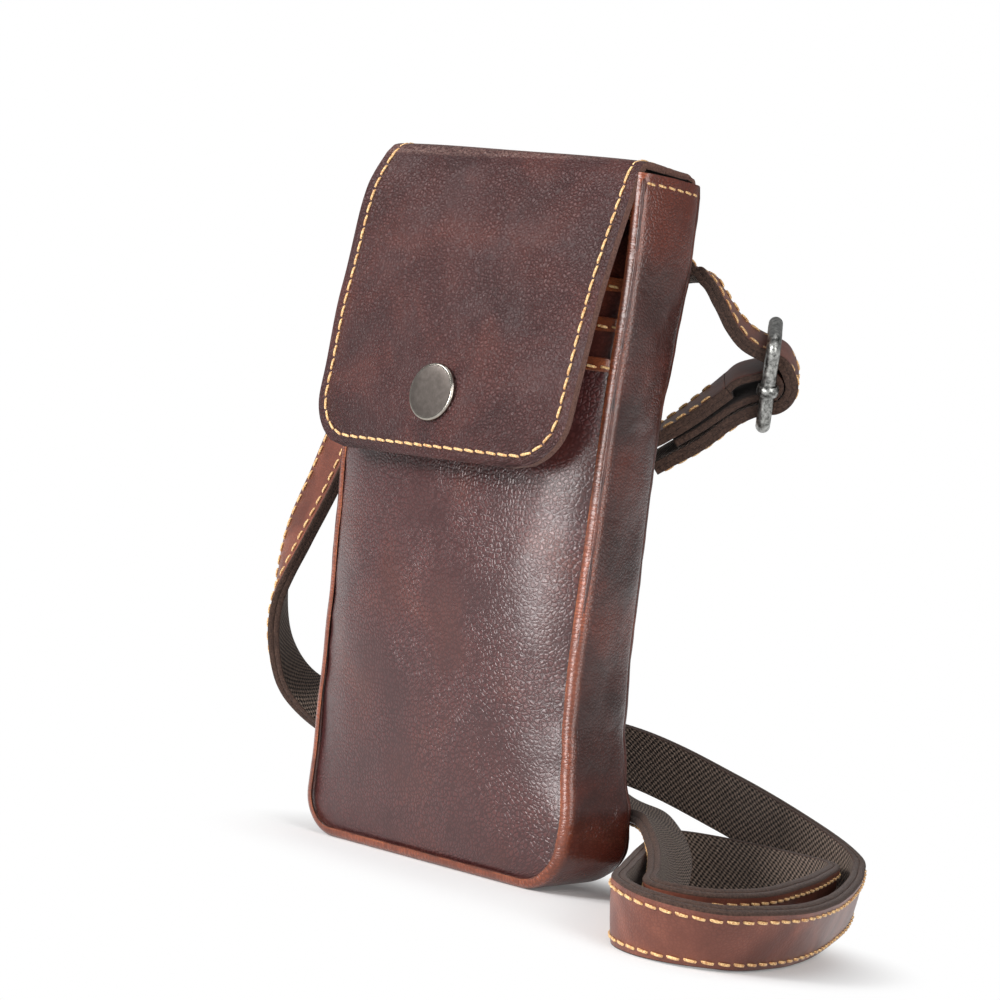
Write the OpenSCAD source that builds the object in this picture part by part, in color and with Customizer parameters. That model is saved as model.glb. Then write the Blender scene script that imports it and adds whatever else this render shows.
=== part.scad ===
// Crossbody phone pouch with a snap flap, card slots and an adjustable strap.
// Millimetres. The pouch stands upright on its bottom, its front faces -Y and
// the origin is at the middle of the bottom, halfway between the two seams.

/* [Pouch] */
// Outer width of the pouch across its side gussets
body_w = 96; // [90:1:110]
// Height of the mouth above the bottom
body_h = 186; // [176:1:200]
// Depth between the front and back seam beads
body_d = 20; // [19:0.5:26]
// Radius of the two bottom corners
corner_r = 12; // [9:0.5:16]
// Thickness of the gusset leather
gusset_t = 1.4; // [1:0.1:1.8]
// Thickness of the back panel leather
back_t = 1.4; // [1:0.1:1.8]
// Diameter of the turned seam beads
bead_d = 2.2; // [1.8:0.1:2.6]
// Thickness of the cloth linings
lining_t = 0.5; // [0.4:0.05:0.7]
// Small clearance between sewn layers
layer_gap = 0.1; // [0.05:0.01:0.15]

/* [Front] */
// How far the filled front panel swells past its seam
front_swell = 10.8; // [8:0.2:12]
// Thickness of the front panel leather
panel_t = 1; // [0.8:0.1:1.2]
// Thickness of a card slot strip
slot_t = 0.8; // [0.6:0.1:1]
// Room for one card between two layers
card_gap = 0.8; // [0.7:0.1:1]
// Drop from the mouth to the lowest card edge, which is the front panel's top
slot_drop = 48; // [44:1:52]
// Step from one card edge to the next
slot_pitch = 10.5; // [9:0.5:12]
// Depth of a card slot strip below its edge
slot_depth = 54; // [50:1:56]
// Distance from the mouth down to the inner front wall's edge
mouth_drop = 8; // [7:0.5:10]

/* [Flap] */
// Drop from the mouth to the flap's lower edge
flap_drop = 79; // [74:1:84]
// Thickness of the flap leather
flap_t = 2; // [1.6:0.1:2.4]
// Thickness of the flap's suede lining
flap_lining_t = 0.6; // [0.4:0.1:0.8]
// How much further out the flap stands at its lower edge than at its top
flap_reach = 15.5; // [14:0.5:17]
// Extra swell of the flap in the middle of its width
flap_crown = 4; // [3:0.2:4.6]
// Radius of the flap's lower corners
flap_corner_r = 14; // [10:0.5:20]
// Height of the top strip above the mouth
strip_rise = 1.6; // [1.3:0.1:2.4]
// Running clearance at the two leather creases
crease_gap = 0.3; // [0.2:0.05:0.4]

/* [Snap] */
// Diameter of the snap cap
cap_d = 15; // [13:0.5:16]
// Height of the snap above the flap's lower edge
snap_rise = 17; // [14:0.5:20]
// Height of the snap socket under the flap
socket_h = 2.3; // [2:0.1:2.5]
// Diameter of the stud's knob
knob_d = 5.4; // [4.8:0.2:6]
// Clearance between the socket and the knob
snap_gap = 0.35; // [0.3:0.05:0.4]

/* [Strap] */
// Width of the strap
strap_w = 16; // [14:0.5:17]
// Thickness of the strap's leather layer
strap_leather_t = 2; // [1.6:0.1:2.2]
// Thickness of the strap's webbing layer
strap_web_t = 1.6; // [1.2:0.1:1.8]
// Thickness of the anchor patch on the back
patch_t = 1.4; // [1:0.1:1.8]
// Diameter of the anchor rivets
rivet_d = 7; // [6:0.5:8]

/* [Slider] */
// Wire diameter of the slider frame and bar
wire_d = 3.8; // [3.2:0.1:4]
// Clearance between the slider's wires and the strap
slider_gap = 0.3; // [0.25:0.05:0.4]
// Extra height of the slider's upper window
window_extra = 2.4; // [2:0.2:5]

/* [Hidden] */

// Fineness of the turned metal pieces and of the leather surfaces
round_fn = 64;
wire_fn = 40;
sheet_cols = 14;
sheet_rows = 14;
corner_rows = 5;
flap_rows = 16;
route_steps = 3;
overrun = 1;

// Pouch outline, from the bead's centre line inwards
half_w = body_w / 2;
bead_r = bead_d / 2;
seam_y = body_d / 2;
bead_half = half_w - bead_r;
bead_corner = corner_r - bead_r;
stack_half = half_w - bead_d - layer_gap;
stack_corner = corner_r - bead_d - layer_gap;
stack_z = bead_d + layer_gap;
gusset_half_d = seam_y - bead_r;

// Front layers, counted from the front panel's outer face towards the phone
stack_front_y = -seam_y - bead_r / 2;
slot_low_off = panel_t + card_gap;
slot_high_off = slot_low_off + slot_t + card_gap;
wall_off = slot_high_off + slot_t + card_gap;
lining_off = wall_off + panel_t + layer_gap;
wall_top_z = body_h - mouth_drop;
slot_low_z = body_h - slot_drop;

// Back layers
back_out_y = seam_y + bead_r / 2;
back_in_y = back_out_y - back_t;

// Swell of the filled front: a share of front_swell at each place
swell_crown_share = 0.45;
swell_top_share = 0.7;
swell_rise_power = 0.7;
swell_across_power = 3.2;
swell_fade_power = 1.5;
swell_crown_z = swell_crown_share * body_h;

// Creases: the strip's two round noses turn inside the flap and the back panel
nose_r = flap_t / 2;
strip_z = body_h + strip_rise + nose_r;
crease_reach = nose_r + crease_gap;
crease_back_y = back_in_y - crease_reach;
crease_front_y = -seam_y + bead_d + crease_gap;
flap_top_z = strip_z + nose_r;
flap_top_y = crease_front_y - crease_reach - flap_t;
flap_half = stack_half - crease_gap;
flap_edge_power = 1.42;
flap_low_z = body_h - flap_drop;
flap_lining_half = flap_half - flap_t;
flap_lining_top_z = strip_z - nose_r - crease_gap - flap_lining_t;
flap_lining_low_z = flap_low_z + flap_t;

// Snap stack
cap_t = 2;
snap_z = flap_low_z + snap_rise;
cap_rim_t = 0.9;
barrel_r = knob_d * 0.35;
socket_r = knob_d / 2 + snap_gap + 2 * cap_rim_t;
flange_t = 0.7;
flange_r = knob_d * 0.95;
washer_t = 0.4;
neck_r = knob_d * 0.38;

// Strap layers, counted from the strap's middle, leather side positive
strap_t = strap_leather_t + strap_web_t;
leather_hi = strap_t / 2;
leather_lo = leather_hi - strap_leather_t;
web_hi = leather_lo;
web_lo = -leather_hi;
patch_y = back_out_y;
strap_seat_y = patch_y + patch_t + strap_t / 2 + 2 * layer_gap;
patch_half_w = 1.15 * strap_w;
patch_half_h = 0.72 * strap_w;
patch_z = 0.87 * body_h;
rivet_head_t = 1.3;

// Slider: its middle and its own directions, along, across and up, leaning by a share of its tilt
slider_turn = 38;
slider_tilt = 20;
slider_u = [cos(slider_turn), sin(slider_turn), 0];
function slider_across(k) = [cos(k * slider_tilt) * sin(slider_turn), -cos(k * slider_tilt) * cos(slider_turn), -sin(k * slider_tilt)];
function slider_up(k) = [sin(k * slider_tilt) * sin(slider_turn), -sin(k * slider_tilt) * cos(slider_turn), cos(k * slider_tilt)];
wire_r = wire_d / 2;
slider_pos = [half_w + 0.57 * strap_w, strap_seat_y + 1.53 * strap_w, 0.7505 * body_h];
wrap_r = wire_r + slider_gap + strap_leather_t / 2;
fold_r = wrap_r + strap_leather_t / 2 + slider_gap + strap_t / 2;
rod_low_v = -(fold_r + strap_t / 2 + 2 * slider_gap + wire_r);
rod_high_v = -rod_low_v + window_extra;
rod_side = strap_w / 2 + slider_gap + wire_r;
frame_bend_r = 0.65 * wire_d;
collar_r = wire_d;

// Places along the strap, in shares: X of half the pouch's width, Y in strap widths behind the
// anchor's seat, Z in shares of the pouch's height or, lower down, in strap widths.
// The last three numbers point across the strap.
left_upper_shares = [
    [-0.05, 0, 0.87, 0, 0, -1],
    [-0.21, 0, 0.87, 0, 0, -1],
    [-0.37, 0.015, 0.87, 0, 0, -1],
    [-0.64, 0.12, 0.885, 0, 0.3, -1],
    [-0.92, 0.28, 0.895, -0.3, 0.8, -0.7],
    [-1.16, 0.24, 0.88, -0.6, 0.9, -0.3],
    [-1.31, 0.1, 0.82, -0.74, 0.67, 0],
    [-1.41, 0, 0.73, -0.92, 0.38, 0.1],
    [-1.48, -0.15, 0.62, -0.95, 0.28, 0.15],
    [-1.59, -0.25, 0.525, -0.95, 0.3, 0.12],
    [-1.75, -0.3, 0.425, -0.9, 0.42, 0.1],
    [-1.84, -0.3, 0.325, -0.68, 0.73, 0],
    [-1.81, -0.15, 0.245, -0.5, 0.85, 0.1]];
floor_shares = [
    [-1.66, 0.15, 2.15, -0.25, 0.9, 0.4],
    [-1.33, 0.7, 1.75, 0, 0.55, 0.85],
    [-0.88, 1.4, 1.8, 0.1, 0.2, 1],
    [-0.3, 1.85, 2.05, 0.1, 0.05, 1],
    [0.42, 2.15, 2, 0.15, 0, 1],
    [1.04, 2.6, 1.51, 0.2, 0, 1],
    [1.56, 2.82, 1, 0.15, 0, 1],
    [1.92, 2.54, 0.68, 0.1, 0.05, 1],
    [2.13, 1.72, 0.56, 0.15, 0.1, 1],
    [2.36, 0.43, 0.515, 0.35, 0, 1],
    [2.6, -1.1, 0.515, 0.5, -0.2, 1],
    [2.73, -2.5, 0.515, 0.5, -0.35, 1],
    [2.68, -3.7, 0.515, 0.3, -0.55, 1],
    [2.42, -4.12, 0.515, 0, -0.6, 1],
    [2.11, -3.71, 0.515, -0.3, -0.4, 1],
    [1.84, -2.63, 0.515, -0.35, -0.2, 1],
    [1.55, -1.42, 0.515, -0.25, -0.1, 1],
    [1.23, -0.05, 0.515, -0.1, 0, 1],
    [0.97, 1.05, 0.515, 0, 0, 1],
    [1, 1.75, 0.515, 0, 0.05, 1],
    [1.28, 2.1, 0.515, 0, 0.05, 1],
    [1.64, 2.16, 0.52, 0, 0.05, 1],
    [1.92, 1.93, 0.54, 0.1, 0.05, 1],
    [2.07, 1.12, 0.53, 0.2, 0, 1],
    [2.25, -0.4, 0.53, 0.4, -0.1, 1],
    [2.38, -1.85, 0.52, 0.45, -0.25, 1],
    [2.34, -2.86, 0.52, 0.3, -0.45, 1],
    [2.13, -3.1, 0.52, -0.1, -0.45, 1],
    [1.9, -2.25, 0.54, -0.25, -0.25, 1],
    [1.62, -1.12, 0.74, -0.5, -0.3, 0.95],
    [1.3, -0.05, 1.08, -0.8, -0.55, 0.65],
    [0.95, 0.6, 1.27, -0.6, -0.9, 0.15],
    [0.6, 0.98, 1.45, -0.2, -1, 0.3],
    [0.29, 0.9, 1.98, 0, -1, 0.5]];
riser_shares = [
    [0.04, 0.82, 0.253, 0.15, -1, 0.35],
    [-0.04, 0.75, 0.333, 0.3, -1, 0.15],
    [0.04, 0.66, 0.419, 0.4, -0.9, 0],
    [0.21, 0.53, 0.5, 0.5, -0.85, 0],
    [0.4, 0.44, 0.565, 0.6, -0.8, 0.03],
    [0.58, 0.38, 0.619, 0.63, -0.77, -0.08]];
// In strap widths from the slider's bar, along the strap and up, then the share of the slider's tilt
wrap_in_shares = [
    [-1.62, -1.13, 0.55], [-1.18, -0.75, 0.8], [-0.64, -0.2, 1]];
wrap_out_shares = [
    [-0.2, -0.225, 1], [-0.52, -0.43, 1], [-1.02, -0.89, 0.9], [-1.42, -1.22, 0.78]];
short_anchor_shares = [
    [0.05, 0, 0.87, 0, 0, 1],
    [0.21, 0, 0.87, 0, 0, 1],
    [0.37, 0.015, 0.87, 0, 0, 1],
    [0.6, 0.16, 0.893, 0.35, -0.3, 1]];
short_in_shares = [
    [-1.4, 1.58, 0.1], [-1.11, 1.4, 0.4], [-0.9, 1.16, 0.7], [-0.7, 0.9, 0.9],
    [-0.46, 0.68, 1], [-0.15, 0.54, 1], [0.18, 0.43, 1]];
short_tail_shares = [
    [-0.22, -0.48, 1], [-0.54, -0.71, 1], [-0.97, -1.15, 0.9], [-1.5, -1.55, 0.78],
    [-1.72, -1.72, 0.72]];

function high_row(s) = [s[0] * half_w, strap_seat_y + s[1] * strap_w, s[2] * body_h, s[3], s[4], s[5]];
function floor_row(s) = [s[0] * half_w, strap_seat_y + s[1] * strap_w, s[2] * strap_w, s[3], s[4], s[5]];
function slider_row(u, v, k = 1) = concat(slider_pos + u * slider_u + v * slider_up(k), slider_across(k));
function slider_arc(r, a) = slider_row(r * cos(a), r * sin(a));

long_route = concat(
    [for (s = left_upper_shares) high_row(s)],
    [for (s = floor_shares) floor_row(s)],
    [for (s = riser_shares) high_row(s)],
    [for (s = wrap_in_shares) slider_row(s[0] * strap_w, s[1] * strap_w, s[2])]);
short_route = concat(
    [for (s = short_anchor_shares) high_row(s)],
    [for (s = short_in_shares) slider_row(s[0] * strap_w, s[1] * strap_w, s[2])],
    [for (a = [22 : -28 : -90]) slider_arc(fold_r, a)],
    [for (s = short_tail_shares) slider_row(s[0] * strap_w, s[1] * strap_w, s[2])]);

// Interval counts that part the strap into its named stretches
left_end = len(left_upper_shares);
rear_end = left_end + 7;
outer_end = rear_end + 11;
inner_end = outer_end + 11;
riser_end = len(long_route) - 1;
upper_end = len(short_anchor_shares) + 5;
fold_end = upper_end + 6;
tail_end = len(short_route) - 1;

// Smooth curve through a route's rows, with its ends carried straight on
function row_at(P, i) = i < 0 ? 2 * P[0] - P[1] : i >= len(P) ? 2 * P[len(P) - 1] - P[len(P) - 2] : P[i];
function mix_rows(a, b, c, d, t) =
    0.5 * (2 * b + (c - a) * t + (2 * a - 5 * b + 4 * c - d) * t * t + (3 * b - a - 3 * c + d) * t * t * t);
function smooth_rows(P) = concat(
    [for (i = [0 : len(P) - 2]) for (k = [0 : route_steps - 1])
        mix_rows(row_at(P, i - 1), P[i], P[i + 1], row_at(P, i + 2), k / route_steps)],
    [P[len(P) - 1]]);
function xyz(r) = [r[0], r[1], r[2]];
function across(r) = [r[3], r[4], r[5]];
function unit(v) = v / norm(v);
function travel(R, k) = unit(xyz(R[min(k + 1, len(R) - 1)]) - xyz(R[max(k - 1, 0)]));
function square_to(w, t) = unit(w - (w * t) * t);

// Four corners of the strap's section at sample k: lower and upper edge, inner and outer face
function section(R, k, half, lo, hi) =
    let (t = travel(R, k), w = square_to(across(R[k]), t), n = cross(w, t), p = xyz(R[k]))
    [p - half * w + lo * n, p + half * w + lo * n, p + half * w + hi * n, p - half * w + hi * n];

// A band of rectangular section along samples first to last of a smoothed route
module band(R, first, last, half, lo, hi) {
    rings = [for (k = [first : last]) section(R, k, half, lo, hi)];
    count = len(rings);
    points = [for (ring = rings) for (p = ring) p];
    sides = [for (k = [0 : count - 2]) for (m = [0 : 3])
        let (a = 4 * k + m, b = 4 * k + (m + 1) % 4)
        each m < 2 ? [[a, b, b + 4], [a, b + 4, a + 4]] : [[a, b, a + 4], [b, b + 4, a + 4]]];
    end = 4 * (count - 1);
    polyhedron(points, concat([[3, 2, 1], [3, 1, 0]], sides, [[end, end + 1, end + 2], [end, end + 2, end + 3]]));
}

// A thin curved sheet between two grids of points, rows upwards and columns to the right
module sheet(outer, inner) {
    rows = len(outer) - 1;
    cols = len(outer[0]) - 1;
    row_len = cols + 1;
    back = (rows + 1) * row_len;
    points = concat([for (r = outer) for (p = r) p], [for (r = inner) for (p = r) p]);
    faces = concat(
        [for (i = [0 : rows - 1]) for (j = [0 : cols - 1]) let (a = i * row_len + j, b = a + row_len)
            each [[a, b, b + 1], [a, b + 1, a + 1],
                [back + a, back + b + 1, back + b], [back + a, back + a + 1, back + b + 1]]],
        [for (j = [0 : cols - 1]) let (a = j, b = rows * row_len + j)
            each [[a, a + 1, back + a + 1], [a, back + a + 1, back + a],
                [b + 1, b, back + b], [b + 1, back + b, back + b + 1]]],
        [for (i = [0 : rows - 1]) let (a = i * row_len, b = a + row_len, c = a + cols, d = b + cols)
            each [[b, a, back + a], [b, back + a, back + b],
                [c, d, back + d], [c, back + d, back + c]]]);
    polyhedron(points, faces);
}

// Half width of an outline with round lower corners, at height z
function half_at(half, r, low, z) = z >= low + r ? half : half - r + sqrt(max(0, r * r - pow(low + r - z, 2)));
// Heights of a sheet's rows: close together round a lower corner, even above it
function corner_levels(low, high, r) = concat(
    [for (k = [0 : corner_rows - 1]) low + r * (1 - cos(90 * k / corner_rows))],
    [for (k = [0 : sheet_rows]) low + r + (high - low - r) * k / sheet_rows]);
function even_levels(low, high, rows) = [for (k = [0 : rows]) low + (high - low) * k / rows];
function column_shares() = [for (j = [0 : sheet_cols]) sin(90 * (2 * j / sheet_cols - 1))];

// Swell of the front at share u of the half width and height z
function swell_up(z) = z < swell_crown_z
    ? pow(sin(90 * max(0, z - stack_z) / (swell_crown_z - stack_z)), swell_rise_power)
    : 1 - swell_top_share * pow((z - swell_crown_z) / (body_h - swell_crown_z), swell_fade_power);
function swell(u, z) = front_swell * swell_up(z) * (1 - pow(abs(u), swell_across_power));
function front_y(u, z, off) = stack_front_y + off - swell(u, z);

function front_grid(levels, off) = [for (z = levels) [for (u = column_shares())
    [u * half_at(stack_half, stack_corner, stack_z, z), front_y(u, z, off), z]]];
module front_layer(levels, off, t) {
    sheet(front_grid(levels, off), front_grid(levels, off + t));
}

// Flap surface: d runs from 0 at the top to 1 at the lower edge
function flap_d(z) = (flap_top_z - z) / (flap_top_z - flap_low_z);
function flap_y(u, z) = let (d = flap_d(z))
    flap_top_y - flap_reach * (1 - pow(1 - d, flap_edge_power)) - flap_crown * (1 - u * u) * (2 * d - d * d);
function flap_grid(levels, half, r, low, off) = [for (z = levels) [for (s = column_shares())
    let (x = s * half_at(half, r, low, z)) [x, flap_y(x / flap_half, z) + off, z]]];

// Outline of the pouch, open at the top: square top, round lower corners
module pouch_outline(half, r, low, high) {
    translate([-half, low + r]) square([2 * half, high - low - r]);
    translate([-half + r, low]) square([2 * (half - r), r + overrun]);
    for (side = [-1, 1]) translate([side * (half - r), low + r]) circle(r = r, $fn = round_fn);
}

// A U-shaped wall round the pouch between two insets from its outside
module wall_u(inset, t, depth, high) {
    rotate([90, 0, 0]) linear_extrude(height = depth, center = true) difference() {
        pouch_outline(half_w - inset, corner_r - inset, inset, high);
        pouch_outline(half_w - inset - t, corner_r - inset - t, inset + t, high + overrun);
    }
}

module gusset() {
    color("#6b332c") wall_u(0, gusset_t, 2 * gusset_half_d, body_h);
}

module gusset_lining() {
    color("#3a2c28") wall_u(gusset_t + layer_gap, lining_t, 2 * (back_in_y - lining_t - 2 * layer_gap), body_h - bead_d);
}

// A seam bead follows the outline: two uprights, two corner bends and the bottom run
module seam_bead(y) {
    run = body_h - corner_r;
    translate([0, y, 0]) {
        for (side = [-1, 1]) {
            translate([side * bead_half, 0, corner_r]) cylinder(h = run, r = bead_r, $fn = round_fn);
            translate([side * (half_w - corner_r), 0, corner_r]) rotate([90, 0, 0])
                rotate([0, 0, side < 0 ? 180 : 270])
                rotate_extrude(angle = 90, $fn = round_fn) translate([bead_corner, 0]) circle(r = bead_r, $fn = wire_fn);
        }
        translate([-(half_w - corner_r), 0, bead_r]) rotate([0, 90, 0])
            cylinder(h = 2 * (half_w - corner_r), r = bead_r, $fn = round_fn);
    }
}

module front_seam_bead() {
    color("#8a4526") seam_bead(-seam_y);
}

module back_seam_bead() {
    color("#8a4526") seam_bead(seam_y);
}

module front_panel() {
    color("#5b3a38") difference() {
        front_layer(corner_levels(stack_z, slot_low_z, stack_corner), 0, panel_t);
        snap_at_panel() translate([0, 0, -flap_t]) cylinder(h = 2 * flap_t, r = barrel_r, $fn = round_fn);
    }
}

module card_slot_low() {
    top = slot_low_z + slot_pitch;
    color("#5d3733") front_layer(even_levels(top - slot_depth, top, corner_rows), slot_low_off, slot_t);
}

module card_slot_high() {
    top = slot_low_z + 2 * slot_pitch;
    color("#5d3733") front_layer(even_levels(top - slot_depth, top, corner_rows), slot_high_off, slot_t);
}

module inner_front_wall() {
    color("#55302c") front_layer(corner_levels(stack_z, wall_top_z, stack_corner), wall_off, panel_t);
}

module front_lining() {
    color("#3a2c28") front_layer(corner_levels(stack_z, wall_top_z - bead_d, stack_corner), lining_off, lining_t);
}

// Flat wall of the back: rises behind the mouth to the flap's crease
module back_wall(out_y, t, high) {
    translate([0, out_y, 0]) rotate([90, 0, 0]) linear_extrude(height = t)
        pouch_outline(stack_half, stack_corner, stack_z, high);
}

module back_panel() {
    color("#5b3a38") back_wall(back_out_y, back_t, strip_z + nose_r);
}

module back_lining() {
    color("#3a2c28") back_wall(back_in_y - layer_gap, lining_t, body_h - bead_d);
}

// Leather strip over the mouth, with a round nose at each crease
module flap_top_strip() {
    color("#5a3b39") translate([-flap_half, 0, 0]) rotate([90, 0, 90]) linear_extrude(height = 2 * flap_half) {
        translate([crease_front_y, strip_z - nose_r]) square([crease_back_y - crease_front_y, 2 * nose_r]);
        for (y = [crease_front_y, crease_back_y]) translate([y, strip_z]) circle(r = nose_r, $fn = round_fn);
    }
}

module flap_top_lining() {
    color("#4a3a34") translate([-flap_lining_half, crease_front_y, strip_z - nose_r - flap_lining_t])
        cube([2 * flap_lining_half, crease_back_y - crease_front_y, flap_lining_t]);
}

module flap_front() {
    levels = concat(
        [for (k = [0 : corner_rows - 1]) flap_low_z + flap_corner_r * (1 - cos(90 * k / corner_rows))],
        [for (k = [0 : flap_rows]) flap_low_z + flap_corner_r
            + (flap_top_z - flap_low_z - flap_corner_r) * k / flap_rows]);
    color("#563a39") difference() {
        sheet(flap_grid(levels, flap_half, flap_corner_r, flap_low_z, 0),
            flap_grid(levels, flap_half, flap_corner_r, flap_low_z, flap_t));
        snap_barrel_hole();
    }
}

module flap_lining() {
    r = flap_corner_r - flap_t;
    levels = concat(
        [for (k = [0 : corner_rows - 1]) flap_lining_low_z + r * (1 - cos(90 * k / corner_rows))],
        [for (k = [0 : flap_rows]) flap_lining_low_z + r
            + (flap_lining_top_z - flap_lining_low_z - r) * k / flap_rows]);
    color("#4a3a34") difference() {
        sheet(flap_grid(levels, flap_lining_half, r, flap_lining_low_z, flap_t + layer_gap),
            flap_grid(levels, flap_lining_half, r, flap_lining_low_z, flap_t + layer_gap + flap_lining_t));
        snap_barrel_hole();
    }
}

// The snap's axis leaves the flap's outer face at the middle of its width, and lies halfway
// between square to the flap and square to the front panel
flap_out_point = [0, flap_y(0, snap_z), snap_z];
flap_tilt = atan((flap_y(0, snap_z + 1) - flap_y(0, snap_z - 1)) / 2);
panel_tilt = atan((front_y(0, snap_z + 1, 0) - front_y(0, snap_z - 1, 0)) / 2);
snap_tilt = (flap_tilt + panel_tilt) / 2;
seat_gap = layer_gap + cap_d / 2 * abs(tan(flap_tilt - snap_tilt));
module snap_at_flap() {
    translate(flap_out_point) rotate([90 - snap_tilt, 0, 0]) children();
}
// Depth from the flap's outer face to the lining's inner face, and to the front panel
flap_depth = (flap_t + layer_gap + flap_lining_t) * cos(snap_tilt);
panel_axis_z = snap_z - tan(snap_tilt) * (front_y(0, snap_z, 0) - flap_y(0, snap_z));
panel_depth = (front_y(0, panel_axis_z, 0) - flap_y(0, snap_z)) / cos(snap_tilt);
module snap_at_panel() {
    snap_at_flap() translate([0, 0, -panel_depth]) children();
}
module snap_barrel_hole() {
    snap_at_flap() translate([0, 0, -2 * flap_depth]) cylinder(h = 4 * flap_depth, r = barrel_r + layer_gap, $fn = round_fn);
}

// Cap: flat dome with a rolled rim, and the barrel that passes through the flap
module snap_cap() {
    color("#9a9086") snap_at_flap() {
        translate([0, 0, seat_gap]) rotate_extrude($fn = round_fn) {
            square([cap_d / 2 - cap_rim_t, cap_t - layer_gap]);
            translate([cap_d / 2 - cap_rim_t, cap_rim_t]) circle(r = cap_rim_t, $fn = wire_fn);
        }
        translate([0, 0, -flap_depth - cap_rim_t]) cylinder(h = flap_depth + 2 * cap_rim_t, r = barrel_r, $fn = round_fn);
    }
}

// Socket: a cup under the flap that takes the stud's knob
module snap_socket() {
    color("#8f8b86") snap_at_flap() translate([0, 0, -flap_depth - seat_gap - socket_h]) difference() {
        cylinder(h = socket_h, r = socket_r, $fn = round_fn);
        translate([0, 0, -overrun]) cylinder(h = socket_h - cap_rim_t + overrun, r = knob_d / 2 + snap_gap, $fn = round_fn);
        cylinder(h = socket_h + overrun, r = barrel_r + layer_gap, $fn = round_fn);
    }
}

// Stud: flange on the front panel, neck and knob, with its post through the leather
knob_top = panel_depth - flap_depth - seat_gap - cap_rim_t - snap_gap;
module snap_stud() {
    color("#8f8b86") snap_at_panel() {
        translate([0, 0, seat_gap]) cylinder(h = flange_t, r = flange_r, $fn = round_fn);
        translate([0, 0, seat_gap]) cylinder(h = knob_top - cap_rim_t / 2 - seat_gap, r = neck_r, $fn = round_fn);
        translate([0, 0, knob_top - cap_rim_t]) cylinder(h = cap_rim_t, r = knob_d / 2, $fn = round_fn);
        translate([0, 0, -panel_t - layer_gap]) cylinder(h = panel_t + seat_gap + 2 * layer_gap, r = barrel_r - layer_gap, $fn = round_fn);
    }
}

module snap_washer() {
    color("#77736d") snap_at_panel() translate([0, 0, -panel_t - seat_gap / 2 - washer_t])
        cylinder(h = washer_t, r = neck_r * 1.6, $fn = round_fn);
}

// Anchor on the back: a leather patch, and two rivets through each strap end
module strap_anchor_patch() {
    color("#55352f") translate([-patch_half_w, patch_y, patch_z - patch_half_h])
        cube([2 * patch_half_w, patch_t, 2 * patch_half_h]);
}

rivet_xs = [0.11 * half_w, 0.23 * half_w];
module anchor_rivets() {
    color("#8f8b86") for (side = [-1, 1]) for (x = rivet_xs)
        translate([side * x, strap_seat_y + strap_t / 2 + layer_gap, patch_z]) rotate([-90, 0, 0]) {
            cylinder(h = rivet_head_t / 2, r = rivet_d / 2, $fn = wire_fn);
            cylinder(h = rivet_head_t, r = rivet_d / 2 - rivet_head_t / 2, $fn = wire_fn);
        }
}

// Strap: the leather layer in its named stretches, the webbing whole behind it
long_samples = smooth_rows(long_route);
short_samples = smooth_rows(short_route);
module leather(R, first, last) {
    color("#5f3b38") band(R, first * route_steps, last * route_steps, strap_w / 2, leather_lo, leather_hi);
}
module webbing(R) {
    color("#2c2622") band(R, 0, len(R) - 1, strap_w / 2, web_lo, web_hi);
}

module strap_left_loop() {
    leather(long_samples, 0, left_end);
}
module strap_rear_run() {
    leather(long_samples, left_end, rear_end);
}
module strap_outer_loop() {
    leather(long_samples, rear_end, outer_end);
}
module strap_inner_loop() {
    leather(long_samples, outer_end, inner_end);
}
module strap_riser() {
    leather(long_samples, inner_end, riser_end);
}
module strap_short_upper() {
    leather(short_samples, 0, upper_end);
}
module strap_fold() {
    leather(short_samples, upper_end, fold_end);
}
module strap_tail() {
    leather(short_samples, fold_end, tail_end);
}
module strap_webbing_long() {
    webbing(long_samples);
}
module strap_webbing_short() {
    webbing(short_samples);
}

// The long strap's leather end, thinned to one layer, wraps the slider's bar and is sewn back
last_row = long_route[len(long_route) - 1];
last_travel = travel(long_samples, len(long_samples) - 1);
last_up = cross(slider_across(1), last_travel);
wrap_start = xyz(last_row) + (leather_hi + leather_lo) / 2 * last_up + layer_gap * last_travel;
wrap_route = concat(
    [for (step = [0, 1]) concat(wrap_start + step * wire_d * last_travel, slider_across(1))],
    [slider_row(-wrap_r, wrap_r * 0.72)],
    [for (a = [95 : -37 : -90]) slider_arc(wrap_r, a)],
    [for (s = wrap_out_shares) slider_row(s[0] * strap_w, s[1] * strap_w, s[2])]);
wrap_samples = smooth_rows(wrap_route);
module slider_wrap() {
    color("#5f3b38") band(wrap_samples, 0, len(wrap_samples) - 1, strap_w / 2, -strap_leather_t / 2, strap_leather_t / 2);
}

// Place children in the slider's plane: X across the strap, Y up, Z along the strap
module at_slider() {
    translate(slider_pos) rotate([0, 0, slider_turn - 90]) rotate([90, 0, 0]) rotate([0, 0, -slider_tilt]) children();
}

// Frame: a wire rectangle with round corners
module slider_frame() {
    color("#8d8983") at_slider() {
        for (side = [-1, 1]) {
            translate([side * rod_side, rod_low_v + frame_bend_r, 0]) rotate([-90, 0, 0])
                cylinder(h = rod_high_v - rod_low_v - 2 * frame_bend_r, r = wire_r, $fn = wire_fn);
            translate([side * (rod_side - frame_bend_r), rod_low_v + frame_bend_r, 0])
                rotate([0, 0, side < 0 ? 180 : 270])
                rotate_extrude(angle = 90, $fn = wire_fn) translate([frame_bend_r, 0]) circle(r = wire_r, $fn = wire_fn);
            translate([side * (rod_side - frame_bend_r), rod_high_v - frame_bend_r, 0])
                rotate([0, 0, side < 0 ? 90 : 0])
                rotate_extrude(angle = 90, $fn = wire_fn) translate([frame_bend_r, 0]) circle(r = wire_r, $fn = wire_fn);
        }
        for (v = [rod_low_v, rod_high_v]) translate([-(rod_side - frame_bend_r), v, 0]) rotate([0, 90, 0])
            cylinder(h = 2 * (rod_side - frame_bend_r), r = wire_r, $fn = wire_fn);
    }
}

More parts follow.
